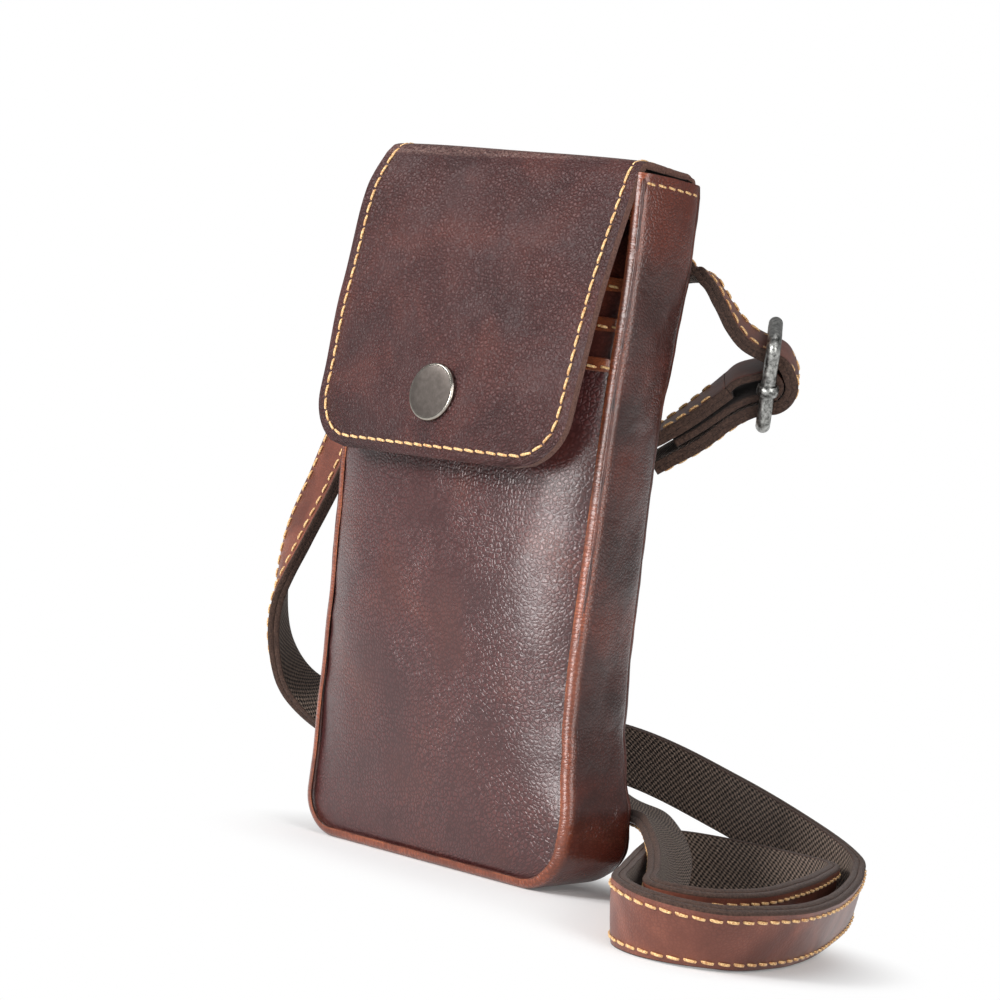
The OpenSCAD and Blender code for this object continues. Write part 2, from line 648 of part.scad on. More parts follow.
// Bar: a rod across the frame, whose flattened ends curl round the side wires as collars
module slider_bar() {
    reach = rod_side - wire_r - layer_gap;
    color("#8d8983") at_slider() {
        translate([-reach, 0, 0]) rotate([0, 90, 0]) cylinder(h = 2 * reach, r = wire_r, $fn = wire_fn);
        for (side = [-1, 1]) translate([side * rod_side, -wire_r / 2, 0]) rotate([-90, 0, 0]) difference() {
            cylinder(h = wire_r, r = wire_r + layer_gap + cap_rim_t, $fn = wire_fn);
            translate([0, 0, -overrun]) cylinder(h = wire_r + 2 * overrun, r = wire_r + layer_gap, $fn = wire_fn);
        }
    }
}

front_panel();
card_slot_low();
card_slot_high();
inner_front_wall();
back_panel();
gusset();
front_seam_bead();
back_seam_bead();
front_lining();
back_lining();
gusset_lining();
flap_top_strip();
flap_top_lining();
flap_front();
flap_lining();
snap_cap();
snap_socket();
snap_stud();
snap_washer();
strap_anchor_patch();
anchor_rivets();
strap_left_loop();
strap_rear_run();
strap_outer_loop();
strap_inner_loop();
strap_riser();
strap_short_upper();
strap_fold();
strap_tail();
slider_wrap();
strap_webbing_long();
strap_webbing_short();
slider_frame();
slider_bar();
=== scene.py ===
# Phone pouch: leather body, snap flap, card slots, strap and slider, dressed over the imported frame.
# Lengths are in millimetres, and turned to metres where meshes, shaders and lights need them.
import math

import bmesh
import bpy
import numpy as np
from mathutils import Matrix, Vector, noise


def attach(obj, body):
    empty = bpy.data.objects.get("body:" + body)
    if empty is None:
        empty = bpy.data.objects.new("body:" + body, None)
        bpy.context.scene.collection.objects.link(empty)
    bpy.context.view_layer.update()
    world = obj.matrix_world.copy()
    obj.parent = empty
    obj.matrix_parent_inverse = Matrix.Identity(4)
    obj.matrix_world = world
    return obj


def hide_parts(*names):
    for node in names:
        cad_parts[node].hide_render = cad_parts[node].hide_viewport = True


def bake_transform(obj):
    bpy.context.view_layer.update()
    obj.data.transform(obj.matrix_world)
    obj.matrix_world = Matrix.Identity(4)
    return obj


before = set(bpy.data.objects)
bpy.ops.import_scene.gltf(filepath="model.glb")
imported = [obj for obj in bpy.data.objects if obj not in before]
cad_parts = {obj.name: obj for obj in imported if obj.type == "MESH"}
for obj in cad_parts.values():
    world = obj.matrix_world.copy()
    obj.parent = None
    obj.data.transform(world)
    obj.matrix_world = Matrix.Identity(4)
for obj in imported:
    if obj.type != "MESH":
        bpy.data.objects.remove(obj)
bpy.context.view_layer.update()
MM = 0.001
UV_UNIT = 100.0

# The pouch's own sizes, as in the frame
half_w = 48.0
body_h = 186.0
seam_y = 10.0
corner_r = 12.0
bead_r = 1.1
gusset_t = 1.4
back_t = 1.4
patch_t = 1.4
lining_t = 0.5
lining_drop = 2.2
layer_gap = 0.1
panel_t = 1.0
slot_t = 0.8
card_gap = 0.8
front_swell = 10.8
swell_top_share = 0.45
slot_low_z = 138.0
slot_pitch = 10.5
slot_depth = 54.0
wall_top_z = 178.0
stack_half = half_w - 2 * bead_r - layer_gap
stack_corner = corner_r - 2 * bead_r - layer_gap
stack_z = 2 * bead_r + layer_gap
stack_front_y = -seam_y - bead_r / 2
back_out_y = seam_y + bead_r / 2
back_in_y = back_out_y - back_t
gusset_half_d = seam_y - bead_r
low_off = panel_t + card_gap
high_off = low_off + slot_t + card_gap
wall_off = high_off + slot_t + card_gap
lining_off = wall_off + panel_t + layer_gap
low_top = slot_low_z + slot_pitch
high_top = slot_low_z + 2 * slot_pitch

# Flap and its two folds
flap_t = 2.0
flap_lining_t = 0.6
flap_low_z = 107.0
flap_top_z = 189.6
flap_top_y = -10.8
flap_reach = 15.5
flap_crown = 4.0
flap_corner_r = 14.0
flap_side_gap = 0.3
flap_half = stack_half - flap_side_gap
back_fold_r = 3.4
front_fold_r = 3.0

# Strap and slider
strap_w = 16.0
strap_leather_t = 2.0
strap_web_t = 1.6
strap_t = strap_leather_t + strap_web_t
strap_seat_y = back_out_y + patch_t + strap_t / 2 + 2 * layer_gap
wire_r = 1.9
wire_gap = 0.3
slider_turn = math.radians(38)
slider_tilt = math.radians(20)
slider_u = np.array([math.cos(slider_turn), math.sin(slider_turn), 0.0])
slider_pos = np.array([half_w + 0.57 * strap_w, strap_seat_y + 1.53 * strap_w, 0.7505 * body_h])
wrap_r = wire_r + wire_gap + strap_leather_t / 2
fold_r = wrap_r + strap_leather_t / 2 + wire_gap + strap_t / 2
slider_side = strap_w / 2 + wire_gap + wire_r


def smoothstep(x, a, b):
    t = min(1.0, max(0.0, (x - a) / (b - a)))
    return t * t * (3 - 2 * t)


def table_value(x, rows):
    """Smooth value at x from a short table of (place, value) rows."""
    if x <= rows[0][0]:
        return rows[0][1]
    for (x0, y0), (x1, y1) in zip(rows, rows[1:]):
        if x <= x1:
            return y0 + (y1 - y0) * smoothstep(x, x0, x1)
    return rows[-1][1]


# How far the filled pouch's sides lean out from the plain box: (height, lean)
flare_front_right = [
    (0, 0.6), (19, 2.4), (34, 0.6), (44, -0.5), (58, -0.9), (95, -0.3), (123, -0.1), (161, 1.0), (186, 0.3)]
flare_back_right = [
    (0, 4.6), (14, 5.6), (22, 4.9), (32, 1.8), (44, -0.6), (65, -1.9), (110, -2.5), (125, -2.3), (144, -0.6),
    (164, 0.9), (186, 0.9)]
flare_left = [
    (0, -2.4), (20, -2.4), (41, -1.2), (63, 0.0), (86, 1.6), (107, 2.9), (135, 2.6), (160, 0.8), (186, 0.0)]
flare_from_x = 14.0
toe_from_x = 10.0
toe_h = 24.0
toe_rise = 2.3


def settle(p):
    """Moves a point of the plain pouch to where the worn, filled leather puts it."""
    x, y, z = p
    side = smoothstep(abs(x), flare_from_x, half_w)
    back = min(1.0, max(0.0, (y + seam_y) / (2 * seam_y)))
    if x > 0:
        shift = table_value(z, flare_front_right) * (1 - back) + table_value(z, flare_back_right) * back
    else:
        shift = -table_value(z, flare_left)
    low = 1 - smoothstep(z, 0.0, toe_h)
    rise = toe_rise * low * back * smoothstep(x, toe_from_x, half_w)
    return (x + shift * side, y, z + rise)


def wobble(p, scale, amount, seed=0.0):
    v = noise.noise(Vector((p[0] / scale + seed, p[1] / scale + 2.7 * seed, p[2] / scale - seed)))
    return amount * v


# Shader nodes
bump_depth = 0.1 * MM
crest_low_z = 188.6
crest_high_z = 189.9
waist_z = 88.0
ends_start = 58.0
ends_full = 100.0
wear_start_y = -9.0
wear_full_y = -11.2


def new_material(name):
    mat = bpy.data.materials.new(name)
    mat.use_nodes = True
    tree = mat.node_tree
    return mat, tree, tree.nodes["Principled BSDF"]


def feed(tree, node, sockets):
    """Links or sets inputs of a node, by their names or numbers."""
    for key, value in sockets.items():
        socket = node.inputs[key]
        if isinstance(value, bpy.types.NodeSocket):
            tree.links.new(value, socket)
        elif socket.type == "RGBA":
            socket.default_value = (*value, 1.0)
        else:
            socket.default_value = value
    return node


def add(tree, kind, sockets, **settings):
    node = tree.nodes.new(kind)
    for key, value in settings.items():
        setattr(node, key, value)
    return feed(tree, node, sockets)


def coords(tree, kind, scale=1.0):
    """Texture coordinates of one kind, "UV" or "Object", scaled evenly."""
    source = add(tree, "ShaderNodeTexCoord", {}).outputs[kind]
    sockets = {"Vector": source, "Scale": (scale, scale, scale)}
    return add(tree, "ShaderNodeMapping", sockets).outputs["Vector"]


def axis_of(tree, vector, axis):
    return add(tree, "ShaderNodeSeparateXYZ", {"Vector": vector}).outputs[axis]


def noise_tex(tree, vector, scale, detail=2.0, roughness=0.5, distortion=0.0, output="Fac"):
    sockets = {"Vector": vector, "Scale": scale, "Detail": detail, "Roughness": roughness}
    sockets["Distortion"] = distortion
    return add(tree, "ShaderNodeTexNoise", sockets).outputs[output]


def map_range(tree, value, low, high, to_low=0.0, to_high=1.0, kind="SMOOTHSTEP"):
    sockets = {"Value": value, "From Min": low, "From Max": high, "To Min": to_low, "To Max": to_high}
    return add(tree, "ShaderNodeMapRange", sockets, interpolation_type=kind).outputs["Result"]


def ramp(tree, source, stops):
    node = add(tree, "ShaderNodeValToRGB", {"Fac": source})
    elements = node.color_ramp.elements
    while len(elements) < len(stops):
        elements.new(0.5)
    for element, (place, colour) in zip(elements, stops):
        element.position = place
        element.color = (*colour, 1.0)
    return node.outputs["Color"]


def mix(tree, fac, a, b, blend="MIX"):
    sockets = {"Factor": fac, "A": a, "B": b}
    return add(tree, "ShaderNodeMix", sockets, data_type="RGBA", blend_type=blend).outputs["Result"]


def calc(tree, operation, a, b=0.0, clamp=False):
    return add(tree, "ShaderNodeMath", {0: a, 1: b}, operation=operation, use_clamp=clamp).outputs[0]


def times(tree, a, b, clamp=False):
    return calc(tree, "MULTIPLY", a, b, clamp)


def plus(tree, a, b):
    return calc(tree, "ADD", a, b)


def bump(tree, height, strength, distance, **under):
    """Normal from height, laid over the Normal given in under if there is one."""
    sockets = {"Height": height, "Strength": strength, "Distance": distance, **under}
    return add(tree, "ShaderNodeBump", sockets).outputs["Normal"]


def srgb(tone):
    """Linear colour from 0-255 display values."""
    shares = [c / 255 for c in tone]
    return tuple(c / 12.92 if c <= 0.04045 else ((c + 0.055) / 1.055) ** 2.4 for c in shares)


def grey(level):
    return (level, level, level)


# Materials, with tones as 0-255 display values


def grain_height(tree, vector, cell):
    """Pebbled leather grain: rounded tops parted by narrow valleys, from 0 to 1. cell is in millimetres."""
    scale = UV_UNIT / cell
    bent = mix(tree, 0.9 / scale, vector, noise_tex(tree, vector, scale * 0.5, output="Color"), "ADD")
    cells = add(tree, "ShaderNodeTexVoronoi", {"Vector": bent, "Scale": scale}, feature="DISTANCE_TO_EDGE")
    top = map_range(tree, cells.outputs["Distance"], 0.0, 0.30)
    fine = noise_tex(tree, vector, scale * 2.2, 3.0, 0.6)
    soft = noise_tex(tree, vector, scale * 0.06, 1.0)
    strength = ramp(tree, soft, [(0.38, grey(0.45)), (0.6, grey(1.0))])
    return plus(tree, times(tree, times(tree, top, strength), 0.75), times(tree, fine, 0.25))


def edge_wear(tree, vector, cloud, tone, worn):
    """Rubbed tone near the band's front edge, from the depth kept in its first coordinate."""
    depth = axis_of(tree, vector, "X")
    near = map_range(tree, depth, wear_start_y / UV_UNIT, wear_full_y / UV_UNIT)
    return mix(tree, times(tree, near, plus(tree, cloud, 0.1), True), tone, worn)


def crest_wear(tree, colour, worn):
    """Pale rubbing along the folds at the top, broken up by fine noise."""
    place = coords(tree, "Object")
    crest = map_range(tree, axis_of(tree, place, "Z"), crest_low_z * MM, crest_high_z * MM)
    broken = ramp(tree, noise_tex(tree, place, 1500.0, 5.0, 0.7), [(0.42, grey(0)), (0.60, grey(1))])
    return mix(tree, times(tree, times(tree, crest, broken), 0.55), colour, worn)


def warmed_ends(tree, cloud, tone, warm):
    """Warmer patches towards the pouch's foot and mouth."""
    height = axis_of(tree, coords(tree, "Object"), "Z")
    away = calc(tree, "ABSOLUTE", calc(tree, "SUBTRACT", height, waist_z * MM))
    ends = map_range(tree, away, ends_start * MM, ends_full * MM)
    return mix(tree, times(tree, ends, plus(tree, cloud, 0.35), True), tone, warm)


def leather(name, dark, mid, warm, cell=1.0, rough=(0.26, 0.42), grain=0.3, crease=0.2, coat=0.1, patch=22.0,
            shine_level=0.5, warm_ends=None, worn_edge=None, worn_crest=None, valley_shade_share=0.8):
    """Grained leather: cloudy tone from dark through mid to warm, pebbled bump, and a soft wax shine.

    cell and patch are the sizes of the grain and the clouds. warm_ends is a tone that comes in towards the
    pouch's foot and mouth, worn_edge a rubbed tone along the side band's front edge, worn_crest one along
    the flap's folds, and valley_shade_share how much painted shade darkens the grain's hollows."""
    mat, tree, shader = new_material(name)
    vector = coords(tree, "UV")
    cloud = noise_tex(tree, vector, UV_UNIT / patch, 5.0, 0.55, 0.6)
    tone = ramp(tree, cloud, [(0.36, srgb(dark)), (0.52, srgb(mid)), (0.68, srgb(warm))])
    if warm_ends:
        tone = warmed_ends(tree, cloud, tone, srgb(warm_ends))
    if worn_edge:
        tone = edge_wear(tree, vector, cloud, tone, srgb(worn_edge))
    height = grain_height(tree, vector, cell)
    # Painted shade darkens the grain's hollows, and a slight painted highlight lifts its tops.
    valley_shade = ramp(tree, height, [(0.12, (0.56, 0.51, 0.51)), (0.75, (1.07, 1.06, 1.06))])
    colour = mix(tree, valley_shade_share, tone, valley_shade, "MULTIPLY")
    if worn_crest:
        colour = crest_wear(tree, colour, srgb(worn_crest))
    streak = noise_tex(tree, vector, UV_UNIT / 9.0, 3.0, 0.5, 0.8)
    folds = bump(tree, streak, crease, 11 * bump_depth)
    feed(tree, shader, {
        "Base Color": colour, "Roughness": map_range(tree, streak, 0.0, 1.0, *rough, "LINEAR"),
        "Coat Weight": coat, "Coat Roughness": 0.26, "Specular IOR Level": shine_level,
        "Normal": bump(tree, height, grain, 2 * bump_depth * cell, Normal=folds)})
    return mat


def suede(name, dark, light, fleck=0.35, scale=0.6):
    """Raw cut edge or flesh side: fibrous, matt, with pale flecks."""
    mat, tree, shader = new_material(name)
    fibres = noise_tex(tree, coords(tree, "Object", 1 / (scale * MM)), 1.0, 6.0, 0.7)
    feed(tree, shader, {
        "Base Color": ramp(tree, fibres, [(0.5 - fleck / 2, srgb(dark)), (0.5 + fleck / 2, srgb(light))]),
        "Roughness": 0.9, "Specular IOR Level": 0.25, "Sheen Weight": 0.08,
        "Normal": bump(tree, fibres, 0.6, 3 * bump_depth)})
    return mat


def webbing(name, dark, light, warp_pitch=1.35, weft_pitch=1.55):
    """Woven tape: slanted rows of small raised threads, slightly uneven."""
    mat, tree, shader = new_material(name)
    vector = coords(tree, "UV")
    drift = times(tree, noise_tex(tree, vector, UV_UNIT / 3.0), 4.0)
    turn = 2 * math.pi * UV_UNIT
    warp = plus(tree, times(tree, axis_of(tree, vector, "Y"), turn / warp_pitch), drift)
    weft = plus(tree, times(tree, axis_of(tree, vector, "X"), turn / weft_pitch), drift)
    slanted = plus(tree, weft, times(tree, warp, 0.5))
    crossed = times(tree, calc(tree, "COSINE", warp), calc(tree, "COSINE", slanted))
    level = plus(tree, times(tree, crossed, 0.5), 0.5)
    fuzz = noise_tex(tree, vector, UV_UNIT / 0.5, 5.0, 0.7)
    tone = plus(tree, times(tree, level, 0.7), times(tree, fuzz, 0.45))
    feed(tree, shader, {
        "Base Color": ramp(tree, tone, [(0.35, srgb(dark)), (0.95, srgb(light))]),
        "Roughness": 0.9, "Specular IOR Level": 0.25, "Sheen Weight": 0.1,
        "Normal": bump(tree, tone, 0.9, 5 * bump_depth)})
    return mat


def metal(name, dark, light, rough, mottle, scale):
    """Plated or aged metal: mottled tone and roughness."""
    mat, tree, shader = new_material(name)
    spots = noise_tex(tree, coords(tree, "Object", 1 / (scale * MM)), 1.0, 6.0, 0.65)
    feed(tree, shader, {
        "Base Color": ramp(tree, spots, [(0.5 - mottle, srgb(dark)), (0.5 + mottle, srgb(light))]),
        "Metallic": 1.0, "Roughness": map_range(tree, spots, 0.0, 1.0, *rough, "LINEAR"),
        "Normal": bump(tree, spots, 0.25, bump_depth)})
    return mat


def thread(name, dark, light):
    """Waxed sewing thread with fine uneven twisted strands; the dark end of its tone is painted shade in the
    grooves between them.
    """
    mat, tree, shader = new_material(name)
    plies_and_shade = noise_tex(tree, coords(tree, "Object", 1 / MM), 2.2, 3.0, 0.6)
    # The thread's dark tone is painted shade in the grooves between its strands, spread by noise.
    feed(tree, shader, {
        "Base Color": ramp(tree, plies_and_shade, [(0.35, srgb(dark)), (0.62, srgb(light))]),
        "Roughness": 0.55, "Sheen Weight": 0.2, "Normal": bump(tree, plies_and_shade, 0.5, bump_depth)})
    return mat


M = {
    "flap": leather(
        "flap_leather", (62, 34, 34), (72, 39, 38), (85, 46, 42), cell=1.1, rough=(0.36, 0.48), grain=1.5,
        coat=0.0, patch=20.0, shine_level=0.36, worn_crest=(140, 112, 104)),
    "front": leather(
        "front_leather", (76, 41, 41), (82, 44, 43), (92, 49, 43), cell=1.2, rough=(0.26, 0.34), grain=0.6,
        crease=0.14, coat=0.3, patch=30.0, valley_shade_share=1.0),
    "gusset": leather(
        "gusset_leather", (58, 31, 27), (76, 38, 32), (96, 46, 36), rough=(0.24, 0.34), grain=0.5,
        crease=0.45, coat=0.35, warm_ends=(104, 46, 30), worn_edge=(156, 80, 48)),
    # The seam roll's tone is partly its own leather and partly painted shade: it is kept dark to stand for
    # the shaded groove beside the front panel.
    "bead": leather(
        "seam_roll_leather", (66, 33, 26), (88, 42, 31), (112, 56, 38), cell=0.8, rough=(0.3, 0.42),
        crease=0.3, patch=9.0),
    "burnish": leather(
        "burnished_edge", (104, 52, 32), (138, 72, 42), (166, 94, 56), cell=0.8, rough=(0.28, 0.44),
        coat=0.25, patch=8.0),
    "slot": leather(
        "slot_leather", (60, 30, 28), (88, 44, 36), (116, 58, 44), cell=1.1, grain=0.45, crease=0.3,
        coat=0.2, patch=14.0),
    "strap": leather(
        "strap_leather", (96, 52, 41), (116, 65, 51), (136, 80, 62), cell=0.9, rough=(0.36, 0.46),
        crease=0.25, patch=18.0, shine_level=0.4, valley_shade_share=0.4),
    "edge": suede("cut_edge", (38, 26, 22), (88, 66, 56)),
    # The flap's cut edge is partly its own raw-edge tone and partly a painted highlight: it is lightened to
    # stand for the bright line along it.
    "flap_edge": suede("flap_cut_edge_and_highlight", (66, 42, 38), (128, 94, 82), scale=0.5),
    "flesh": suede("flesh_side", (34, 24, 21), (62, 46, 40), scale=0.9),
    "lining": suede("woven_lining", (34, 26, 24), (54, 44, 40), fleck=0.5, scale=0.5),
    "web": webbing("strap_webbing", (18, 13, 11), (150, 130, 117)),
    "thread": thread("golden_thread", (176, 112, 58), (250, 212, 150)),
    "cap": metal("pewter_cap", (98, 91, 86), (118, 110, 105), (0.34, 0.46), 0.25, 1.6),
    "rim": metal("polished_rim", (150, 142, 132), (190, 184, 176), (0.14, 0.24), 0.3, 2.0),
    "nickel": metal("aged_nickel", (84, 84, 82), (190, 190, 186), (0.24, 0.5), 0.14, 1.1),
    "steel": metal("pressed_steel", (110, 106, 100), (160, 156, 150), (0.25, 0.4), 0.25, 1.5),
}


# Meshes and pieces


def dress(obj, seat, slot, *nodes):
    """Attaches a piece to the body that seat names, or else bakes its place into its mesh, and hides the
    nodes it replaces. slot is not used.
    """
    if isinstance(seat, str):
        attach(obj, seat)
    else:
        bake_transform(obj)
    if nodes:
        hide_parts(*nodes)


def make_object(name, verts, faces, materials, kinds=None, uvs=None):
    """Smooth mesh from points, with one (u, v) for each vertex and one material number for each face."""
    mesh = bpy.data.meshes.new(name)
    mesh.from_pydata([(x * MM, y * MM, z * MM) for x, y, z in verts], [], faces)
    for key in materials:
        mesh.materials.append(M[key])
    if kinds is not None:
        mesh.polygons.foreach_set("material_index", kinds)
    if uvs is not None:
        layer = mesh.uv_layers.new(name="UVMap")
        flat = np.array(uvs, float)[[loop.vertex_index for loop in mesh.loops]] / UV_UNIT
        layer.data.foreach_set("uv", flat.ravel())
    mesh.polygons.foreach_set("use_smooth", [True] * len(mesh.polygons))
    mesh.update()
    obj = bpy.data.objects.new(name, mesh)
    bpy.context.scene.collection.objects.link(obj)
    return obj


def closed_object(*details):
    """A closed mesh whose faces all look outwards."""
    obj = make_object(*details)
    bm = bmesh.new()
    bm.from_mesh(obj.data)
    if bm.calc_volume(signed=True) < 0:
        bmesh.ops.reverse_faces(bm, faces=bm.faces)
    bm.to_mesh(obj.data)
    bm.free()
    return obj


def ring_faces(count, sides, base=0, closed=False):
    """Quads between rings of points, with end caps unless the last ring meets the first."""
    faces = []
    for k in range(count if closed else count - 1):
        here = base + k * sides
        there = base + (k + 1) % count * sides
        for m in range(sides):
            n = (m + 1) % sides
            faces.append((here + m, here + n, there + n, there + m))
    if not closed:
        last = base + (count - 1) * sides
        faces.append(tuple(base + m for m in reversed(range(sides))))
        faces.append(tuple(last + m for m in range(sides)))
    return faces


def ring_piece(name, rings, materials, uvs=None, kinds=None, closed=False):
    """Closed piece from rings of points."""
    verts = [tuple(p) for ring in rings for p in ring]
    faces = ring_faces(len(rings), len(rings[0]), 0, closed)
    return closed_object(name, verts, faces, materials, kinds, uvs)


def circle(count):
    return [(math.cos(2 * math.pi * k / count), math.sin(2 * math.pi * k / count)) for k in range(count)]


def arc(cx, cy, r, start, steps):
    """Points of a quarter turn from the angle start, in degrees."""
    angles = [math.radians(start + 90 * k / steps) for k in range(steps + 1)]
    return [(cx + r * math.cos(a), cy + r * math.sin(a)) for a in angles]


def shell(name, rows, cols, place, uv, materials, edge_round=0.35):
    """Closed leather sheet with rounded cut edges, from place(row, column, inside).

    materials: outer face, edge, inner face."""
    cells = [(i, j) for i in range(rows) for j in range(cols)]
    verts = [place(i, j, inside) for inside in (False, True) for i, j in cells]
    uvs = [uv(i, j) for i, j in cells] * 2
    base = len(cells)
    faces = []
    kinds = []
    for i in range(rows - 1):
        for j in range(cols - 1):
            a = i * cols + j
            faces.append((a, a + 1, a + cols + 1, a + cols))
            faces.append((base + a, base + a + cols, base + a + cols + 1, base + a + 1))
            kinds += [0, 2]
    loop = list(range(cols))
    loop += [i * cols + cols - 1 for i in range(1, rows)]
    loop += [(rows - 1) * cols + j for j in range(cols - 2, -1, -1)]
    loop += [i * cols for i in range(rows - 2, 0, -1)]
    for a, b in zip(loop, loop[1:] + loop[:1]):
        faces.append((b, a, base + a, base + b))
        kinds.append(1)
    obj = closed_object(name, verts, faces, materials, kinds, uvs)
    bevel = obj.modifiers.new("edge", "BEVEL")
    bevel.width = edge_round * MM
    bevel.segments = 2
    bevel.limit_method = "ANGLE"
    bevel.angle_limit = math.radians(50)
    bpy.context.view_layer.update()
    depsgraph = bpy.context.evaluated_depsgraph_get()
    mesh = bpy.data.meshes.new_from_object(obj.evaluated_get(depsgraph))
    obj.modifiers.clear()
    obj.data = mesh
    return obj


def spread(cols, share):
    """Places from -1 to 1, closer together towards both ends by share."""
    even = [2 * j / (cols - 1) - 1 for j in range(cols)]
    return [math.sin(math.pi / 2 * e) * share + e * (1 - share) for e in even]


def outline_half(half, r, low, z):
    """Half width at height z of an outline with lower corners of radius r."""
    if z >= low + r:
        return half
    return half - r + math.sqrt(max(0.0, r * r - (low + r - z) ** 2))


def levels(low, high, r, count, fine=10):
    """Heights from low to high, close together round a lower corner of radius r."""
    first = [low + r * (1 - math.cos(math.pi / 2 * k / fine)) for k in range(fine)]
    return first + [low + r + (high - low - r) * k / count for k in range(count + 1)]


def front_y(u, z, off):
    """Depth of the swollen front at share u of its half width and height z, off behind its face."""
    top = swell_top_share * body_h
    if z < top:
        swell = math.sin(math.pi / 2 * max(0.0, z - stack_z) / (top - stack_z)) ** 0.7
    else:
        swell = 1 - 0.7 * ((z - top) / (body_h - top)) ** 1.5
    return stack_front_y + off - front_swell * swell * (1 - abs(u) ** 3.2)


def flap_y(u, z):
    d = min(1.0, max(0.0, (flap_top_z - z) / (flap_top_z - flap_low_z)))
    return flap_top_y - flap_reach * (1 - (1 - d) ** 1.42) - flap_crown * (1 - u * u) * (2 * d - d * d)


def arc_lengths(points):
    out = [0.0]
    for a, b in zip(points, points[1:]):
        out.append(out[-1] + math.dist(a, b))
    return out


# Sewing: stitches along a path that lies on a surface. The profile is (share along, height, thickness)
stitch_profile = (
    (0.0, -0.32, 0.5), (0.06, 0.02, 0.9), (0.3, 0.16, 1.0), (0.6, 0.18, 1.04), (0.88, 0.06, 0.95),
    (1.0, -0.3, 0.5))
stitch_slant = 0.08
stitch_lift = 0.12
stitch_sway = 0.05


def resample(points, normals, step):
    """Evenly spaced points and unit normals along a polyline."""
    pts = np.array(points, float)
    nrm = np.array(normals, float)
    d = np.concatenate([[0], np.cumsum(np.linalg.norm(np.diff(pts, axis=0), axis=1))])
    s = np.linspace(0, d[-1], max(2, int(round(d[-1] / step)) + 1))
    p = np.column_stack([np.interp(s, d, pts[:, k]) for k in range(3)])
    n = np.column_stack([np.interp(s, d, nrm[:, k]) for k in range(3)])
    return p, n / np.linalg.norm(n, axis=1)[:, None]


def stitch_rings(a, b, up, k, gap, radius):
    """Rings of one slightly slanted thread stitch from a to b that dips into the leather at its ends."""
    length = np.linalg.norm(b - a)
    t = (b - a) / length
    up = up / np.linalg.norm(up)
    side = np.cross(t, up)
    side = side / np.linalg.norm(side)
    start = a + t * gap / 2
    end = b - t * gap / 2
    rings = []
    for f, height, size in stitch_profile:
        c = start + (end - start) * f + up * (stitch_lift + height * radius * 1.6)
        c = c + side * ((f - 0.5) * stitch_slant * length + stitch_sway * math.sin(12.9 * k))
        rings.append([c + radius * size * (x * side + 0.8 * y * up) for x, y in circle(6)])
    return rings


def stitches(name, rows):
    """One object of several stitch rows; rows are (points, normals, (pitch, gap, radius))."""
    verts = []
    faces = []
    for points, normals, (pitch, gap, radius) in rows:
        p, n = resample(points, normals, pitch)
        for k in range(len(p) - 1):
            rings = stitch_rings(p[k], p[k + 1], n[k] + n[k + 1], k, gap, radius)
            faces += ring_faces(len(rings), len(rings[0]), len(verts))
            verts += [tuple(q) for ring in rings for q in ring]
    return make_object(name, verts, faces, ["thread"])


# Front panel, card slots, inner wall and lining
panel_looks = ["front", "burnish", "flesh"]
card_looks = ["slot", "burnish", "flesh"]
lining_looks = ["lining", "lining", "lining"]
card_stitch = (3.9, 1.1, 0.34)
card_stitch_inset = 2.4
hem_h = 3.6
hem_proud = 0.3
hem_columns = 90


def front_sheet(name, node, low, high, off, t, cols, count, looks, ripple=0.0, round_low=True):
    """One sheet of the swollen front, with ripples and puckers along its seams."""
    zs = [low + (high - low) * k / count for k in range(count + 1)]
    if round_low:
        zs = levels(low, high, stack_corner, count)
    us = spread(cols, 0.35)

    def place(i, j, inside):
        z = zs[i]
        u = us[j]
        edge = 1 - abs(u)
        x = u * outline_half(stack_half, stack_corner, stack_z, z)
        y = front_y(u, z, off + (t if inside else 0))
        if ripple:
            fade = min(1.0, edge * 12) * min(1.0, (z - stack_z) / 4)
            y += ripple * (wobble((x, 0, z), 26, 1.0, 3.1) + wobble((x * 1.4, 0, z), 11, 0.35, 8.2)) * fade
            pucker = math.exp(-(edge / 0.07) ** 2) * min(1.0, edge * 40)
            y += 0.35 * ripple * pucker * math.sin(z / 2.1 + 2 * math.sin(z / 9))
        return settle((x, y, z))

    def uv(i, j):
        return (us[j] * (stack_half + 3) + 100, zs[i] + off * 40)

    dress(shell(name, len(zs), cols, place, uv, looks), "pouch", node, node)


def card_edge_row(top, off):
    """Stitches across the front at a set distance below a card edge."""
    z = top - card_stitch_inset
    us = [-0.985 + 1.97 * k / 119 for k in range(120)]
    points = [settle((u * stack_half, front_y(u, z, off - hem_proud), z)) for u in us]
    return points, [(0, -1, 0.05)] * len(us), card_stitch


def hem_roll(name, top, off, t):
    """Turned and burnished top edge of a card layer: a soft roll, darker rust than the panel."""
    profile = []
    for f in (0.0, 0.12, 0.3, 0.55, 0.8, 1.0):
        profile.append((-0.18 - 0.12 * math.sin(math.pi * f), top - hem_h + hem_h * f * 0.9))
    for degrees in range(20, 181, 32):
        a = math.radians(degrees)
        profile.append((t / 2 - (t / 2 + 0.28) * math.cos(a), top - 0.35 + 0.42 * math.sin(a)))
    profile.append((t + 0.15, top - hem_h * 0.6))
    rings = []
    uvs = []
    for k in range(hem_columns):
        u = -0.992 + 1.984 * k / (hem_columns - 1)
        x = u * stack_half
        places = [(x, front_y(u, z, off + dy) + wobble((x, 0, z), 7, 0.12, 5.0), z) for dy, z in profile]
        rings.append([settle(p) for p in places])
        uvs += [(x + 300, z + r * 0.4) for r, (_, z) in enumerate(profile)]
    dress(ring_piece(name, rings, ["burnish"], uvs), "pouch", "card_slot_low")


